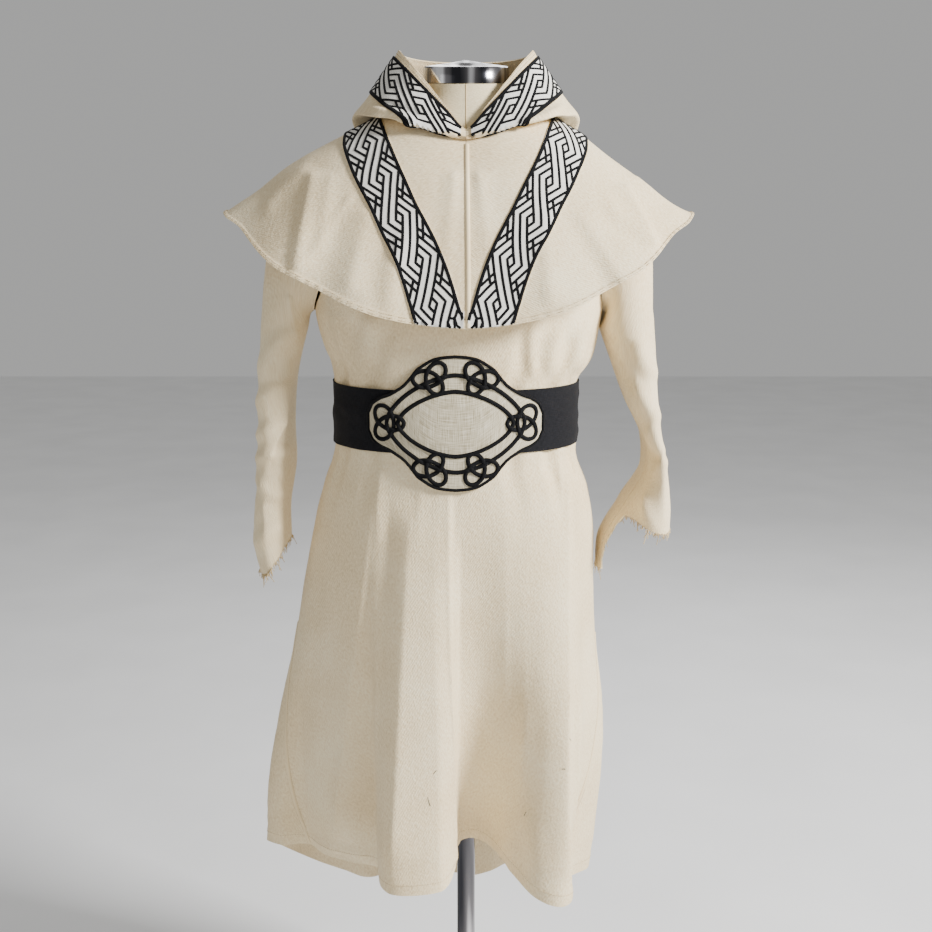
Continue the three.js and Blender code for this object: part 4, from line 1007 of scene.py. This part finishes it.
def black_canvas():
    """Matt black cloth, with a fine plain weave that only shows close by."""
    n = Nodes("black_cloth", roughness=0.95, sheen=0.04)
    n.shader.inputs["Specular IOR Level"].default_value = 0.08
    warp = n.noise(n.scaled(n.cloth, (1200, 160, 1)), 1.0, 2)
    weft = n.noise(n.scaled(n.cloth, (160, 1200, 1)), 1.0, 2)
    weave = n.weighted((warp, 0.5), (weft, 0.5))
    return n.finish(n.ramp(weave, [(0.35, srgb(17, 17, 19)), (0.65, srgb(33, 33, 36))]), weave, 0.4)


def slub_linen():
    """Plain weave whose thick and thin yarns show both ways."""
    n = Nodes("slub_linen", roughness=0.9, sheen=0.1)
    warp = n.noise(n.scaled(n.cloth, (950, 45, 1)), 1.0, 3)
    weft = n.noise(n.scaled(n.cloth, (38, 820, 1)), 1.0, 3)
    slubs = n.weighted((warp, 0.5), (weft, 0.5))
    stops = [(0.36, srgb(146, 134, 108)), (0.5, srgb(190, 179, 152)), (0.64, srgb(218, 209, 186))]
    return n.finish(n.ramp(slubs, stops), slubs, 0.9, 0.0006)


def chrome_band():
    n = Nodes("bright_band", roughness=0.16, metallic=1.0)
    # Painted reflections: the metal's base colour runs in vertical dark and bright streaks that stand in for
    # reflected light.
    painted_reflection_streaks = n.noise(n.scaled(n.space, (46, 46, 2)), 1.0, 1)
    stops = [(0.36, srgb(52, 52, 56)), (0.5, srgb(110, 108, 110)), (0.56, srgb(176, 174, 176)),
             (0.62, srgb(236, 236, 238))]
    return n.finish(n.ramp(painted_reflection_streaks, stops), n.noise(n.space, 300, 2), 0.03)


def painted_steel():
    n = Nodes("black_steel", roughness=0.45)
    dimples = n.noise(n.space, 420, 3)
    return n.finish(n.ramp(dimples, [(0.3, srgb(17, 17, 19)), (0.7, srgb(31, 31, 34))]), dimples, 0.2)


CREAM = twill("cotton_twill", srgb(216, 192, 148), srgb(236, 216, 176), srgb(248, 234, 200))
NECK_COVER = twill("neck_cover", srgb(204, 186, 144), srgb(222, 206, 168), srgb(234, 222, 190), 0.3)
THREAD = twill("sewing_thread", srgb(178, 154, 112), srgb(200, 178, 136), srgb(220, 200, 160), 0.2)
TRIM = trim_weave()
BLACK_LINE = black_yarn("black_line", srgb(20, 20, 22), 420)
BLACK_CORD = black_yarn("black_cord", srgb(22, 22, 24), 230)
BLACK_CLOTH = black_canvas()
LINEN = slub_linen()
CHROME = chrome_band()
STEEL = painted_steel()


# The charted interlace: two zigzag strands of two stripes each, in sizes along (s) and across (t) a band.
# The legs that rise pass over and the legs that fall pass under them.
PERIOD = 120.0
RISE_RUN = 62.0
STRIPES = 9.2
INNER_EDGE = 26.0
BORDER_AT = 27.3
BORDER_LINE = (4.6, 1.15)
FINE_LINE = (3.7, 1.0)
LINE_CLEAR = 0.2
GAP_OFFSET = 7.6
GAP_RUN = 44
CHART_STEP = 2.0
LINE_OFF = TRIM_OFF - 0.05


def leg_frame(amplitude):
    """Directions, normals and the mitre of the rising and the falling legs."""
    rise = unit(np.array([RISE_RUN, 2 * amplitude]))
    fall = unit(np.array([PERIOD - RISE_RUN, -2 * amplitude]))
    up_of_rise, up_of_fall = np.array([-rise[1], rise[0]]), np.array([-fall[1], fall[0]])
    mitre = (up_of_rise + up_of_fall) / (1 + up_of_rise @ up_of_fall)
    return rise, fall, up_of_rise, up_of_fall, mitre


def strand_amplitude():
    """Half the height of a strand's middle line, so that its outer line just meets the border."""
    amplitude = 16.0
    for _ in range(20):
        amplitude = INNER_EDGE - STRIPES * leg_frame(amplitude)[4][1]
    return amplitude


AMPLITUDE = strand_amplitude()
RISE, FALL, UP_OF_RISE, UP_OF_FALL, MITRE = leg_frame(AMPLITUDE)


RISING = {"foot": (0.0, -AMPLITUDE), "run": RISE, "up": UP_OF_RISE, "span": RISE_RUN}
FALLING = {"foot": (RISE_RUN, AMPLITUDE), "run": FALL, "up": UP_OF_FALL, "span": PERIOD - RISE_RUN}


def in_legs(points, leg, first, count, reach):
    """Which points lie within reach of one strand's rising or falling legs."""
    inside = np.zeros(len(points), bool)
    length = math.hypot(leg["span"], 2 * AMPLITUDE)
    for k in range(-1, count + 1):
        away = points - np.array([first + leg["foot"][0] + k * PERIOD, leg["foot"][1]])
        along = away @ leg["run"]
        inside |= (np.abs(away @ leg["up"]) < reach) & (along > -STRIPES) & (along < length + STRIPES)
    return inside


def sampled(corners):
    """Evenly spaced points along a line with corners, and the leg that each lies on."""
    points, legs = [], []
    for leg, (start, end) in enumerate(zip(corners[:-1], corners[1:])):
        steps = max(2, int(np.linalg.norm(end - start) / CHART_STEP))
        share = np.linspace(0, 1, steps, endpoint=False)[:, None]
        points.append(start + share * (end - start))
        legs.append(np.full(steps, leg))
    return np.concatenate(points), np.concatenate(legs)


def runs_of(points, keep):
    """The unbroken stretches of the points that are kept."""
    edges = np.flatnonzero(np.diff(np.concatenate([[0], keep.astype(int), [0]])))
    return [points[a:b] for a, b in zip(edges[::2], edges[1::2]) if b - a > 1]


def charted_lines(length):
    """Every black line of a band of the given length, as (points, (width, height))."""
    count = int(length / PERIOD) + 2
    lines = []
    for first in (0.0, PERIOD / 2):
        other = PERIOD / 2 - first
        for offset in (-STRIPES, 0.0, STRIPES):
            corners = []
            for k in range(-1, count + 1):
                start = first + k * PERIOD
                corners.append(np.array([start, -AMPLITUDE]) + MITRE * [-1, 1] * offset)
                corners.append(np.array([start + RISE_RUN, AMPLITUDE]) + MITRE * offset)
            points, legs = sampled(corners)
            covered = (legs % 2 == 1) & in_legs(points, RISING, other, count, STRIPES - LINE_CLEAR)
            lines += [(run, FINE_LINE) for run in runs_of(points, ~covered)]
    lines += gap_lines(count)
    ends = np.arange(-PERIOD, length + PERIOD, CHART_STEP * 1.5)
    for side in (-1, 1):
        lines.append((np.stack([ends, np.full(len(ends), side * BORDER_AT)], -1), BORDER_LINE))
    return lines


def gap_lines(count):
    """Short crossed lines that fill each three-cornered gap beside the borders."""
    lines = []
    half = PERIOD / 2
    reach = STRIPES + LINE_CLEAR
    for k in range(-2, 2 * count + 1):
        for border in (-1, 1):
            corner = half * k + (RISE_RUN if border > 0 else 0.0)
            ends = (np.array([corner, border * INNER_EDGE]), np.array([corner + half, border * INNER_EDGE]))
            inward = (FALL, RISE) if border > 0 else (RISE, FALL)
            step_in = GAP_OFFSET / abs(inward[0][1])
            first = ends[0] + np.array([step_in, 0])
            second = ends[1] - np.array([step_in, 0])
            for start, run in ((first, inward[0]), (second, -inward[1])):
                points = start + np.arange(0, GAP_RUN, CHART_STEP * 0.7)[:, None] * run
                taken = np.abs(points[:, 1]) > INNER_EDGE
                for strand in (0.0, half):
                    taken |= in_legs(points, RISING, strand, count, reach)
                    taken |= in_legs(points, FALLING, strand, count, reach)
                lines += [(piece, FINE_LINE) for piece in runs_of(points, ~taken)[:1]]
    return lines


# Trims on the cape and the hood
def cape_band_spots(across, along):
    """The turn and row of a place on the cape's band, which stays below the neck."""
    turn, index = trim_spot(across, along)
    return turn, np.maximum(index, 0.2)


FINE_ALONG = np.linspace(0, CAPE_TRIM.last, 1101)
CAPE_TRIM_LENGTHS = lengths_along(cape_point(*cape_band_spots(0 * FINE_ALONG, FINE_ALONG))[:, None], 0)[:, 0]
CAPE_HEM_INDEX = CAPE_LAST - 0.03


def first_inside(across):
    """How far along its path the cape's band starts, where the hem and the middle seam cut it."""
    turn, index = cape_band_spots(np.full(len(FINE_ALONG), across), FINE_ALONG)
    outside = np.flatnonzero((index > CAPE_HEM_INDEX) | (turn < 0.15))
    return FINE_ALONG[outside[-1] + 1] if len(outside) else 0.0


def charted_yarn(surface, side, length, place):
    """A chart's lines on a trim, where place gives the spots of some points and which of them lie on it."""
    lines = Bag()
    for points, (width, height) in charted_lines(length):
        spots, inside = place(points)
        for run in runs_of(np.stack(spots, -1), inside):
            path, ups = on_surface(surface, side * run[:, 0], run[:, 1], LINE_OFF)
            ribbon(lines, path, ups, width, height)
    return lines


def cape_trim(side):
    name = f"cape_trim_{'left' if side < 0 else 'right'}"
    columns, rows = GRIDS["cape_trim"]
    across = np.linspace(-1, 1, columns)
    starts = np.array([first_inside(a) for a in across])
    along = mix(starts[None, :], CAPE_TRIM.last, np.linspace(0, 1, rows)[:, None])
    turn, index = cape_band_spots(np.repeat(across[None, :], len(along), 0), along)
    band = sheet_piece(name, CAPE_CLOTH[side], side * turn, index, TRIM_CLOTH, TRIM, lift=TRIM_OFF)

    def place(points):
        places = np.interp(points[:, 0], CAPE_TRIM_LENGTHS, FINE_ALONG, left=-1, right=-1)
        turn, index = cape_band_spots(points[:, 1] / (TRIM_WIDTH / 2), np.maximum(places, 0))
        return (turn, index), (places >= 0) & (index < CAPE_HEM_INDEX) & (turn > 0.2)

    lines = charted_yarn(CAPE_CLOTH[side], side, CAPE_TRIM_LENGTHS[-1], place)
    return band, lines.make(f"{name}_lines", BLACK_LINE, CORD_SHARP)


HOOD_TRIM_START, HOOD_TRIM_END = 4.5, 179.7
HOOD_TRIM_ALONG = np.linspace(HOOD_TRIM_START, HOOD_TRIM_END, 500)
HOOD_TRIM_ROWS = 60


def hood_trim_shares():
    """The hood's shares at even steps across its trim, from the turned edge down, at each place along it."""
    shares = np.linspace(HOOD_TRIM_TOP, HOOD_FOLD, 90)
    grid = hood_point(HOOD_TRIM_ALONG[None, :], shares[:, None])
    depths = lengths_along(grid, 0)
    steps = np.linspace(0, 1, HOOD_TRIM_ROWS)
    columns = [np.interp(steps * TRIM_WIDTH, depth, shares) for depth in depths.T]
    return np.array(columns)


HOOD_TRIM_SHARES = hood_trim_shares()


def hood_share(turn, t):
    """The share of the hood that lies across from a place on its trim, measured from the turned edge."""
    along = np.interp(turn, HOOD_TRIM_ALONG, np.arange(len(HOOD_TRIM_ALONG)))
    down = np.clip((TRIM_WIDTH / 2 - t) / TRIM_WIDTH, 0, 1) * (HOOD_TRIM_ROWS - 1)
    i = np.minimum(along.astype(int), len(HOOD_TRIM_ALONG) - 2)
    k = np.minimum(down.astype(int), HOOD_TRIM_ROWS - 2)
    a, b = along - i, down - k
    upper = mix(HOOD_TRIM_SHARES[i, k], HOOD_TRIM_SHARES[i + 1, k], a)
    lower = mix(HOOD_TRIM_SHARES[i, k + 1], HOOD_TRIM_SHARES[i + 1, k + 1], a)
    return mix(upper, lower, b)


def hood_trim(side):
    name = f"hood_trim_{'left' if side < 0 else 'right'}"
    columns, rows = GRIDS["hood_trim"]
    along = np.linspace(HOOD_TRIM_START, HOOD_TRIM_END, columns)
    turns, across = np.meshgrid(along, np.linspace(-1, 1, rows) * TRIM_WIDTH / 2)
    shares = hood_share(turns, across)
    band = sheet_piece(name, HOOD_CLOTH[side], side * turns, shares, TRIM_CLOTH, TRIM, lift=TRIM_OFF)
    lengths = lengths_along(hood_point(HOOD_TRIM_ALONG, 0.9)[:, None], 0)[:, 0]
    lowest = HOOD_TRIM_SHARES[:, -1] + 0.004

    def place(points):
        turn = np.interp(points[:, 0], lengths, HOOD_TRIM_ALONG, left=-1, right=-1)
        share = hood_share(np.maximum(turn, HOOD_TRIM_START), points[:, 1])
        return (turn, share), (turn >= 0) & (share > np.interp(turn, HOOD_TRIM_ALONG, lowest))

    lines = charted_yarn(HOOD_CLOTH[side], side, lengths[-1], place)
    path, ups = on_surface(HOOD_CLOTH[side], side * HOOD_TRIM_ALONG, lowest, LINE_OFF)
    ribbon(lines, path, ups, *BORDER_LINE)
    return band, lines.make(f"{name}_lines", BLACK_LINE, CORD_SHARP)


# Belt plate: a free design of round knots on two rings of cord, woven over and under by turns.
# Places are from the plate's middle, and turn points each knot's round lobe away from it.
CORD_WIDTH, CORD_HEIGHT = 6.0, 2.2
KNOTS = [
    {"x": -30, "z": 59, "turn": 28}, {"x": 30, "z": 59, "turn": -28}, {"x": -30, "z": -59, "turn": 152},
    {"x": 30, "z": -59, "turn": -152}, {"x": -88, "z": 0, "turn": 90}, {"x": 88, "z": 0, "turn": -90},
]
KNOT_REACH = 24.0
RINGS = [{"wide": 76.0, "high": 44.0}, {"wide": 91.0, "high": 66.0}]
RING_BOX = 1.25


def knot_curve(knot):
    """A three-lobed knot with its first lobe drawn out round."""
    a = np.linspace(0, 2 * math.pi, 130, endpoint=False)
    x, z = np.sin(a) + 2 * np.sin(2 * a), np.cos(a) - 2 * np.cos(2 * a)
    reach = np.hypot(x, z) / 3
    lobe = 1 + 0.16 * np.cos(np.arctan2(x, z))
    x, z = x / 3 * KNOT_REACH * lobe, z / 3 * KNOT_REACH * lobe * (0.97 + 0.03 * reach)
    s, c = math.sin(math.radians(knot["turn"])), math.cos(math.radians(knot["turn"]))
    return np.stack([knot["x"] + x * c - z * s, knot["z"] + x * s + z * c], -1)


def ring_curve(size):
    a = np.linspace(0, 2 * math.pi, 300, endpoint=False)
    x, z = size["wide"] * power(np.cos(a), RING_BOX), size["high"] * power(np.sin(a), RING_BOX)
    return np.stack([x, z], -1)


def crossings(curves):
    """Where the closed curves cross themselves and each other: (curve, place, curve, place)."""
    owner = np.concatenate([np.full(len(c), k) for k, c in enumerate(curves)])
    place = np.concatenate([np.arange(len(c)) for c in curves])
    start = np.concatenate(curves)
    run = np.concatenate([np.roll(c, -1, axis=0) - c for c in curves])
    i, j = np.triu_indices(len(start), 2)
    near = np.abs(start[i] - start[j]).max(axis=1) < 6
    i, j = i[near], j[near]
    cross = run[i, 0] * run[j, 1] - run[i, 1] * run[j, 0]
    gap = start[j] - start[i]
    safe = np.where(np.abs(cross) < 1e-9, 1e-9, cross)
    s = (gap[:, 0] * run[j, 1] - gap[:, 1] * run[j, 0]) / safe
    t = (gap[:, 0] * run[i, 1] - gap[:, 1] * run[i, 0]) / safe
    same = (owner[i] == owner[j]) & (np.abs(place[i] - place[j]) % (len(curves[0])) < 3)
    hit = (s >= 0) & (s < 1) & (t >= 0) & (t < 1) & ~same
    return [(owner[a], place[a] + s[k], owner[b], place[b] + t[k])
            for k, (a, b) in zip(np.flatnonzero(hit), zip(i[hit], j[hit]))]


def woven_heights(curves):
    """How far each point of each curve rises, where it passes over another by turns."""
    found = crossings(curves)
    visits = [[] for _ in curves]
    for number, (a, at_a, b, at_b) in enumerate(found):
        visits[a].append((at_a, number, 0))
        visits[b].append((at_b, number, 1))
    visits = [sorted(v) for v in visits]
    over = {}
    while len(over) < len(found):
        over[next(n for n in range(len(found)) if n not in over)] = 0
        spread = True
        while spread:
            spread = False
            for walk in visits:
                for (_, here, slot), (_, there, next_slot) in zip(walk, walk[1:] + walk[:1]):
                    if here in over and there not in over:
                        above = over[here] == slot
                        over[there] = 1 - next_slot if above else next_slot
                        spread = True
    heights = []
    for curve, walk in zip(curves, visits):
        steps = np.linalg.norm(np.roll(curve, -1, axis=0) - curve, axis=1)
        lengths = np.concatenate([[0], np.cumsum(steps)])
        height = np.zeros(len(curve))
        for at, number, slot in walk:
            if over[number] == slot:
                gap = np.abs(lengths[:-1] - np.interp(at, np.arange(len(lengths)), lengths))
                gap = np.minimum(gap, lengths[-1] - gap)
                height = np.maximum(height, CORD_HEIGHT * 0.95 * np.exp(-((gap / 5.5) ** 2)))
        heights.append(height)
    return heights


def on_plate(x, z):
    """A place on the plate's face, from sizes measured from its middle."""
    half = plate_half(x + PLATE_X)
    return on_surface(PLATE_FACE, x + PLATE_X, np.clip(z / half, -1, 1))


def belt_plate():
    columns, rows = GRIDS["plate"]
    x = PLATE_X + (PLATE_REACH - 0.2) * np.sin(np.radians(np.linspace(-90, 90, columns)))
    u, v = np.broadcast_arrays(x[None, :], np.linspace(-1, 1, rows)[:, None])
    plate = sheet_piece("belt_plate", PLATE_FACE, u, v, PLATE_CLOTH, LINEN, plain_back=True)
    cords = Bag()
    curves = [knot_curve(knot) for knot in KNOTS] + [ring_curve(size) for size in RINGS]
    for curve, height in zip(curves, woven_heights(curves)):
        path, ups = on_plate(curve[:, 0], curve[:, 1])
        ribbon(cords, path + ups * height[:, None], ups, CORD_WIDTH, CORD_HEIGHT, closed=True)
    edge = Bag()
    x = PLATE_X + (PLATE_REACH - 1.4) * np.sin(np.radians(np.linspace(-90, 90, 150)))
    high, up_high = on_surface(PLATE_FACE, x, 0.985)
    low, up_low = on_surface(PLATE_FACE, x[::-1], -0.985)
    path, ups = np.concatenate([high, low]), np.concatenate([up_high, up_low])
    ribbon(edge, path, ups, 4.4, 2.2, closed=True)
    cords = cords.make("plate_cords", BLACK_CORD, CORD_SHARP)
    return plate, cords, edge.make("plate_piping", BLACK_CORD, CORD_SHARP)


# Stitching, seams and raw edges
CAPE_STITCHES = (3.6, 8.6)
HOOD_STITCHES = (0.978, 0.993)
HEM_STITCHES = 0.3
GORE_STITCHES = (-2.0, 1.6)
GORE_LAPS = (-0.9, 0.8)
GORE_LAP = {"width": 5.4, "height": 1.3}
MIDDLE_LAP = {"width": 6.4, "height": 2.0}


def stitching():
    bag = Bag()
    for side in (-1, 1):
        turns = side * np.linspace(0.6, 179.4, 420)
        for from_hem in CAPE_STITCHES:
            stitch_row(bag, *on_surface(CAPE_CLOTH[side], turns, CAPE_LAST - from_hem / CAPE_ROW))
        index = np.linspace(0.06, float(ROBE.where("z", GORE["top"])), 160)
        for edge, aside in zip(edge_turns(index), GORE_STITCHES):
            stitch_row(bag, *on_surface(ROBE_CLOTH, side * (edge + aside), index))
        for share in HOOD_STITCHES:
            stitch_row(bag, *on_surface(HOOD_CLOTH[side], side * np.linspace(3, 179, 260), share))
    turns = np.linspace(-179, 179, 900)
    stitch_row(bag, *on_surface(ROBE_CLOTH, turns, np.full(900, HEM_STITCHES)), step=3.8)
    return bag.make("stitching", THREAD, CORD_SHARP)


def lapped_seams():
    """The lapped seams down the middle of the cape, front and back, and beside the gores."""
    bag = Bag()
    for side in (-1, 1):
        index = np.linspace(0.08, float(ROBE.where("z", GORE["top"] - 4)), 160)
        for edge, aside in zip(edge_turns(index), GORE_LAPS):
            path, ups = on_surface(ROBE_CLOTH, side * (edge + aside), index)
            ribbon(bag, path, ups, **GORE_LAP)
    for turn, low in ((0.3, 0.3), (179.6, 4.9)):
        path, ups = on_surface(CAPE_CLOTH[1], np.full(120, turn), np.linspace(low, CAPE_LAST - 0.04, 120))
        ribbon(bag, path, ups, **MIDDLE_LAP)
    return bag.make("lapped_seams", CREAM, CORD_SHARP)


FRAY = np.random.default_rng(29)
FRAY_COUNT = 330


def frayed_cuff(side, count):
    """Loose yarns that hang from a raw cuff."""
    bag = Bag()
    for around in FRAY.uniform(0.01, 0.99, count):
        start, up = on_surface(SLEEVE_CLOTH[side], around, 1.992, -CLOTH / 2)
        length = FRAY.uniform(3, 9) if FRAY.random() < 0.85 else FRAY.uniform(9, 20)
        lean = np.array([*FRAY.uniform(-0.55, 0.55, 2), -1.0])
        curl = FRAY.uniform(-0.5, 0.5, 3) * length
        t = np.linspace(0, 1, 7)[:, None]
        path = start + unit(lean) * length * t + curl * t * t * (1 - 0.6 * t)
        ribbon(bag, path, np.repeat(up[None, :], 7, axis=0), 0.95, 0.7)
    return bag.make(f"frayed_cuff_{'left' if side < 0 else 'right'}", THREAD, CORD_SHARP)


HAIRS = [
    {"x": -45, "z": 609, "long": 7, "turn": 50}, {"x": -54, "z": 571, "long": 14, "turn": 105},
    {"x": 90, "z": 537, "long": 9, "turn": 60}, {"x": 137, "z": 614, "long": 4, "turn": 0},
    {"x": 146, "z": 656, "long": 4, "turn": 120},
]


def stray_hairs(turns, indexes):
    """A few dark fibres that cling to the skirt's front."""
    bag = Bag()
    points = robe_point(turns, indexes)
    for hair in HAIRS:
        gap = np.hypot(points[..., 0] - hair["x"], points[..., 2] - hair["z"])
        at = np.unravel_index(np.argmin(gap), gap.shape)
        middle, up = on_surface(ROBE_CLOTH, turns[at], indexes[at], 0.25)
        t = np.linspace(-0.5, 0.5, 7)[:, None]
        a = math.radians(hair["turn"])
        path = middle + np.array([math.cos(a), 0, math.sin(a)]) * hair["long"] * t
        path = path + np.array([-math.sin(a), 0, math.cos(a)]) * 2.2 * (0.25 - t * t)
        ribbon(bag, path, np.repeat(up[None, :], 7, axis=0), 0.7, 0.5)
    return bag.make("stray_hairs", BLACK_LINE, CORD_SHARP)


# Dress form
CAP_PROFILE = [(0.3, 58.2), (1.0, 58.9), (4, 59), (20, 58.6), (21.6, 57.4), (22.4, 55), (24, 38), (24.6, 12)]
POLE_RADIUS, POLE_LOW = 14.0, 44.0
FOOT_PROFILE = [(0, 173.5), (0.6, 175), (5, 175), (7, 173), (12, 60), (16, 31), (18, 29), (43.7, 26)]


def closed_rings(bag, rings):
    """Rings of points, closed by a fan at each end."""
    count, sides = rings.shape[:2]
    middles = [rings[0].mean(0), rings[-1].mean(0)]
    bottom, top = count * sides, count * sides + 1
    j = np.arange(sides)
    ahead = (j + 1) % sides
    last = (count - 1) * sides
    faces = [quads(count, sides, True).reshape(-1, 4)]
    faces.append(np.stack([np.full(sides, bottom), ahead, j], -1))
    faces.append(np.stack([np.full(sides, top), last + j, last + ahead], -1))
    points = np.concatenate([rings.reshape(-1, 3), np.array(middles)])
    around = np.linspace(0, 360, sides, endpoint=False) * np.ones((count, 1))
    up = np.arange(count)[:, None] * 8.0 * np.ones((1, sides))
    uvs = np.concatenate([np.stack([around, up], -1).reshape(-1, 2), np.zeros((2, 2))])
    bag.add(points, faces, uvs)


ROUND = np.linspace(0, 360, 96, endpoint=False)


def lathe(profile, z_base, tilt=0.0):
    """Rings round the upright axis from (height, radius) rows."""
    s, c = np.sin(np.radians(ROUND)), np.cos(np.radians(ROUND))
    return np.stack([stack(r * s, -r * c, z_base + up - c * tilt / 2) for up, r in profile])


def dress_form():
    """The form's pieces, as (piece, slot, replaced nodes)."""
    torso = Bag()
    closed_rings(torso, form_point(ROUND[None, :], np.linspace(0, FORM.last, 80)[:, None]))
    neck_seam = Bag()
    for turn in (0.0, 180.0):
        index = np.linspace(float(FORM.where("z", 1470)), FORM.last - 0.05, 50)
        path = form_point(np.full(50, turn), index)
        ups = unit(path * np.array([1, 1, 0]))
        ribbon(neck_seam, path, ups, 1.6, 0.7)
    cap, pole, foot = Bag(), Bag(), Bag()
    closed_rings(cap, lathe(CAP_PROFILE, FORM.columns["z"][-1], NECK_TILT))
    pole_length = FORM.columns["z"][0] - SEAM_GAP - POLE_LOW
    closed_rings(pole, lathe([(up, POLE_RADIUS) for up in (0, 700, pole_length)], POLE_LOW))
    closed_rings(foot, lathe(FOOT_PROFILE, 0))
    return [
        (torso.make("form_cover", NECK_COVER), "form_cover", ["form_torso"]),
        (neck_seam.make("neck_seam", THREAD, CORD_SHARP), "form_cover", []),
        (cap.make("neck_band", CHROME, 40), "chrome", ["form_cap"]),
        (pole.make("stand_pole", CHROME, 40), "chrome", ["form_pole"]),
        (foot.make("stand_foot", STEEL, 40), "black_metal", ["form_foot"]),
    ]


# Camera, pieces and studio
CAMERA = {"at": (0.0, -1.75, 1.38), "up": 78.5, "lens": 47.28, "sensor": 36.0}


def photo_camera():
    data = bpy.data.cameras.new("photo_camera")
    data.lens = CAMERA["lens"]
    data.sensor_width = CAMERA["sensor"]
    camera = bpy.data.objects.new("photo_camera", data)
    camera.location = CAMERA["at"]
    camera.rotation_euler = (math.radians(CAMERA["up"]), 0.0, 0.0)
    bpy.context.collection.objects.link(camera)
    bpy.context.scene.camera = camera


def robe_pieces():
    turns, indexes = panel_grid("front", *GRIDS["front"])
    front = sheet_piece("robe_front", ROBE_CLOTH, turns, indexes, CLOTH, CREAM)
    settle(front, "canvas", ["bodice_front", "skirt_front_left", "skirt_front_right"])
    hairs = settle(stray_hairs(turns, indexes), "black_cloth")
    back_turns, back_indexes = panel_grid("back", *GRIDS["back"])
    back = sheet_piece("robe_back", ROBE_CLOTH, back_turns, back_indexes, CLOTH, CREAM)
    settle(back, "canvas", ["bodice_back", "skirt_back_left", "skirt_back_right"])
    declare(front, [hairs])
    declare(back)
    for side, word in ((-1, "left"), (1, "right")):
        gore_turns, gore_indexes = gore_grid(side, *GRIDS["gore"])
        gore = sheet_piece(f"robe_gore_{word}", ROBE_CLOTH, gore_turns, gore_indexes, CLOTH, CREAM)
        settle(gore, "canvas", [f"robe_gore_{word}"])
        declare(gore)


def sleeve_pieces():
    columns, rows = GRIDS["sleeve"]
    for side, word in ((-1, "left"), (1, "right")):
        around, row = np.meshgrid(np.linspace(0.0012, 0.9988, columns), np.linspace(0, 2, rows))
        sleeve = sheet_piece(f"sleeve_{word}", SLEEVE_CLOTH[side], around, row, CLOTH, CREAM)
        halves = ["sleeve_left"] if side < 0 else ["sleeve_right_front", "sleeve_right_back"]
        settle(sleeve, "canvas", halves)
        frays = settle(frayed_cuff(side, FRAY_COUNT), "canvas")
        declare(sleeve, [frays])


def cape_and_hood():
    for side, word in ((-1, "left"), (1, "right")):
        columns, rows = GRIDS["cape"]
        turns, indexes = np.meshgrid(side * np.linspace(0, 180, columns), np.linspace(0, CAPE_LAST, rows))
        cape = sheet_piece(f"cape_{word}", CAPE_CLOTH[side], turns, indexes, CLOTH, CREAM)
        settle(cape, "canvas", [f"cape_{word}"])
        declare(cape)
        columns, rows = GRIDS["hood"]
        turns, shares = np.meshgrid(side * np.linspace(0, 180, columns), np.linspace(0, 1, rows))
        hood = sheet_piece(f"hood_{word}", HOOD_CLOTH[side], turns, shares, CLOTH, CREAM)
        settle(hood, "canvas", [f"hood_{word}"])
        declare(hood)
        for maker, carrier in ((cape_trim, cape), (hood_trim, hood)):
            band, lines = maker(side)
            settle(band, "trim", [band.name.removesuffix("_cloth")])
            settle(lines, "black_cloth")
            declare(band, [lines])


def belt_pieces():
    columns, rows = GRIDS["belt"]
    turns = np.linspace(-180, 180, columns, endpoint=False)
    u, v = np.meshgrid(turns, np.linspace(BELT["low"], BELT["high"], rows))
    belt = sheet_piece("belt_band", BELT_FACE, u, v, BELT_CLOTH, BLACK_CLOTH, closed=True, plain_back=True)
    settle(belt, "black_cloth", ["belt_band"])
    declare(belt)
    plate, cords, piping = belt_plate()
    settle(plate, "linen", ["belt_plate"])
    settle(cords, "black_cloth")
    settle(piping, "black_cloth")
    declare(plate, [cords, piping])


def studio():
    floor = bpy.data.meshes.new("studio_floor")
    reach = 9.0
    corners = [(-reach, -reach, 0), (reach, -reach, 0), (reach, reach, 0), (-reach, reach, 0)]
    floor.from_pydata(corners, [], [(0, 1, 2, 3)])
    n = Nodes("studio_paper", roughness=0.9)
    mottle = n.noise(n.space, 3, 2)
    paper = [(0.3, srgb(226, 226, 226)), (0.7, srgb(232, 232, 232))]
    floor.materials.append(n.finish(n.ramp(mottle, paper)))
    ground = bpy.data.objects.new("studio_floor", floor)
    bpy.context.collection.objects.link(ground)
    ground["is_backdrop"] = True
    world = bpy.data.worlds.new("studio_air")
    world.use_nodes = True
    world.node_tree.nodes["Background"].inputs["Color"].default_value = (0.95, 0.95, 0.94, 1)
    world.node_tree.nodes["Background"].inputs["Strength"].default_value = 0.44
    bpy.context.scene.world = world
    lights = [
        {"name": "key", "at": (2.8, -1.35, 2.7), "size": 0.75, "power": 330},
        {"name": "fill", "at": (-2.4, -1.9, 1.6), "size": 2.2, "power": 6},
        {"name": "back", "at": (0.6, 2.4, 2.6), "size": 1.8, "power": 34},
    ]
    for light in lights:
        data = bpy.data.lights.new(light["name"], "AREA")
        data.size, data.energy = light["size"], light["power"]
        lamp = bpy.data.objects.new(light["name"], data)
        lamp.location = light["at"]
        aim = Vector((0, 0, 1.0)) - lamp.location
        lamp.rotation_euler = aim.to_track_quat("-Z", "Y").to_euler()
        bpy.context.collection.objects.link(lamp)


photo_camera()
robe_pieces()
sleeve_pieces()
cape_and_hood()
belt_pieces()
settle(stitching(), "canvas")
settle(lapped_seams(), "canvas")
for form_piece, form_slot, form_nodes in dress_form():
    settle(form_piece, form_slot, form_nodes)
studio()

boxes = {"cad": cad_box, "visual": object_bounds()}
{name: [list(map(float, corner)) for corner in box] for name, box in boxes.items()}
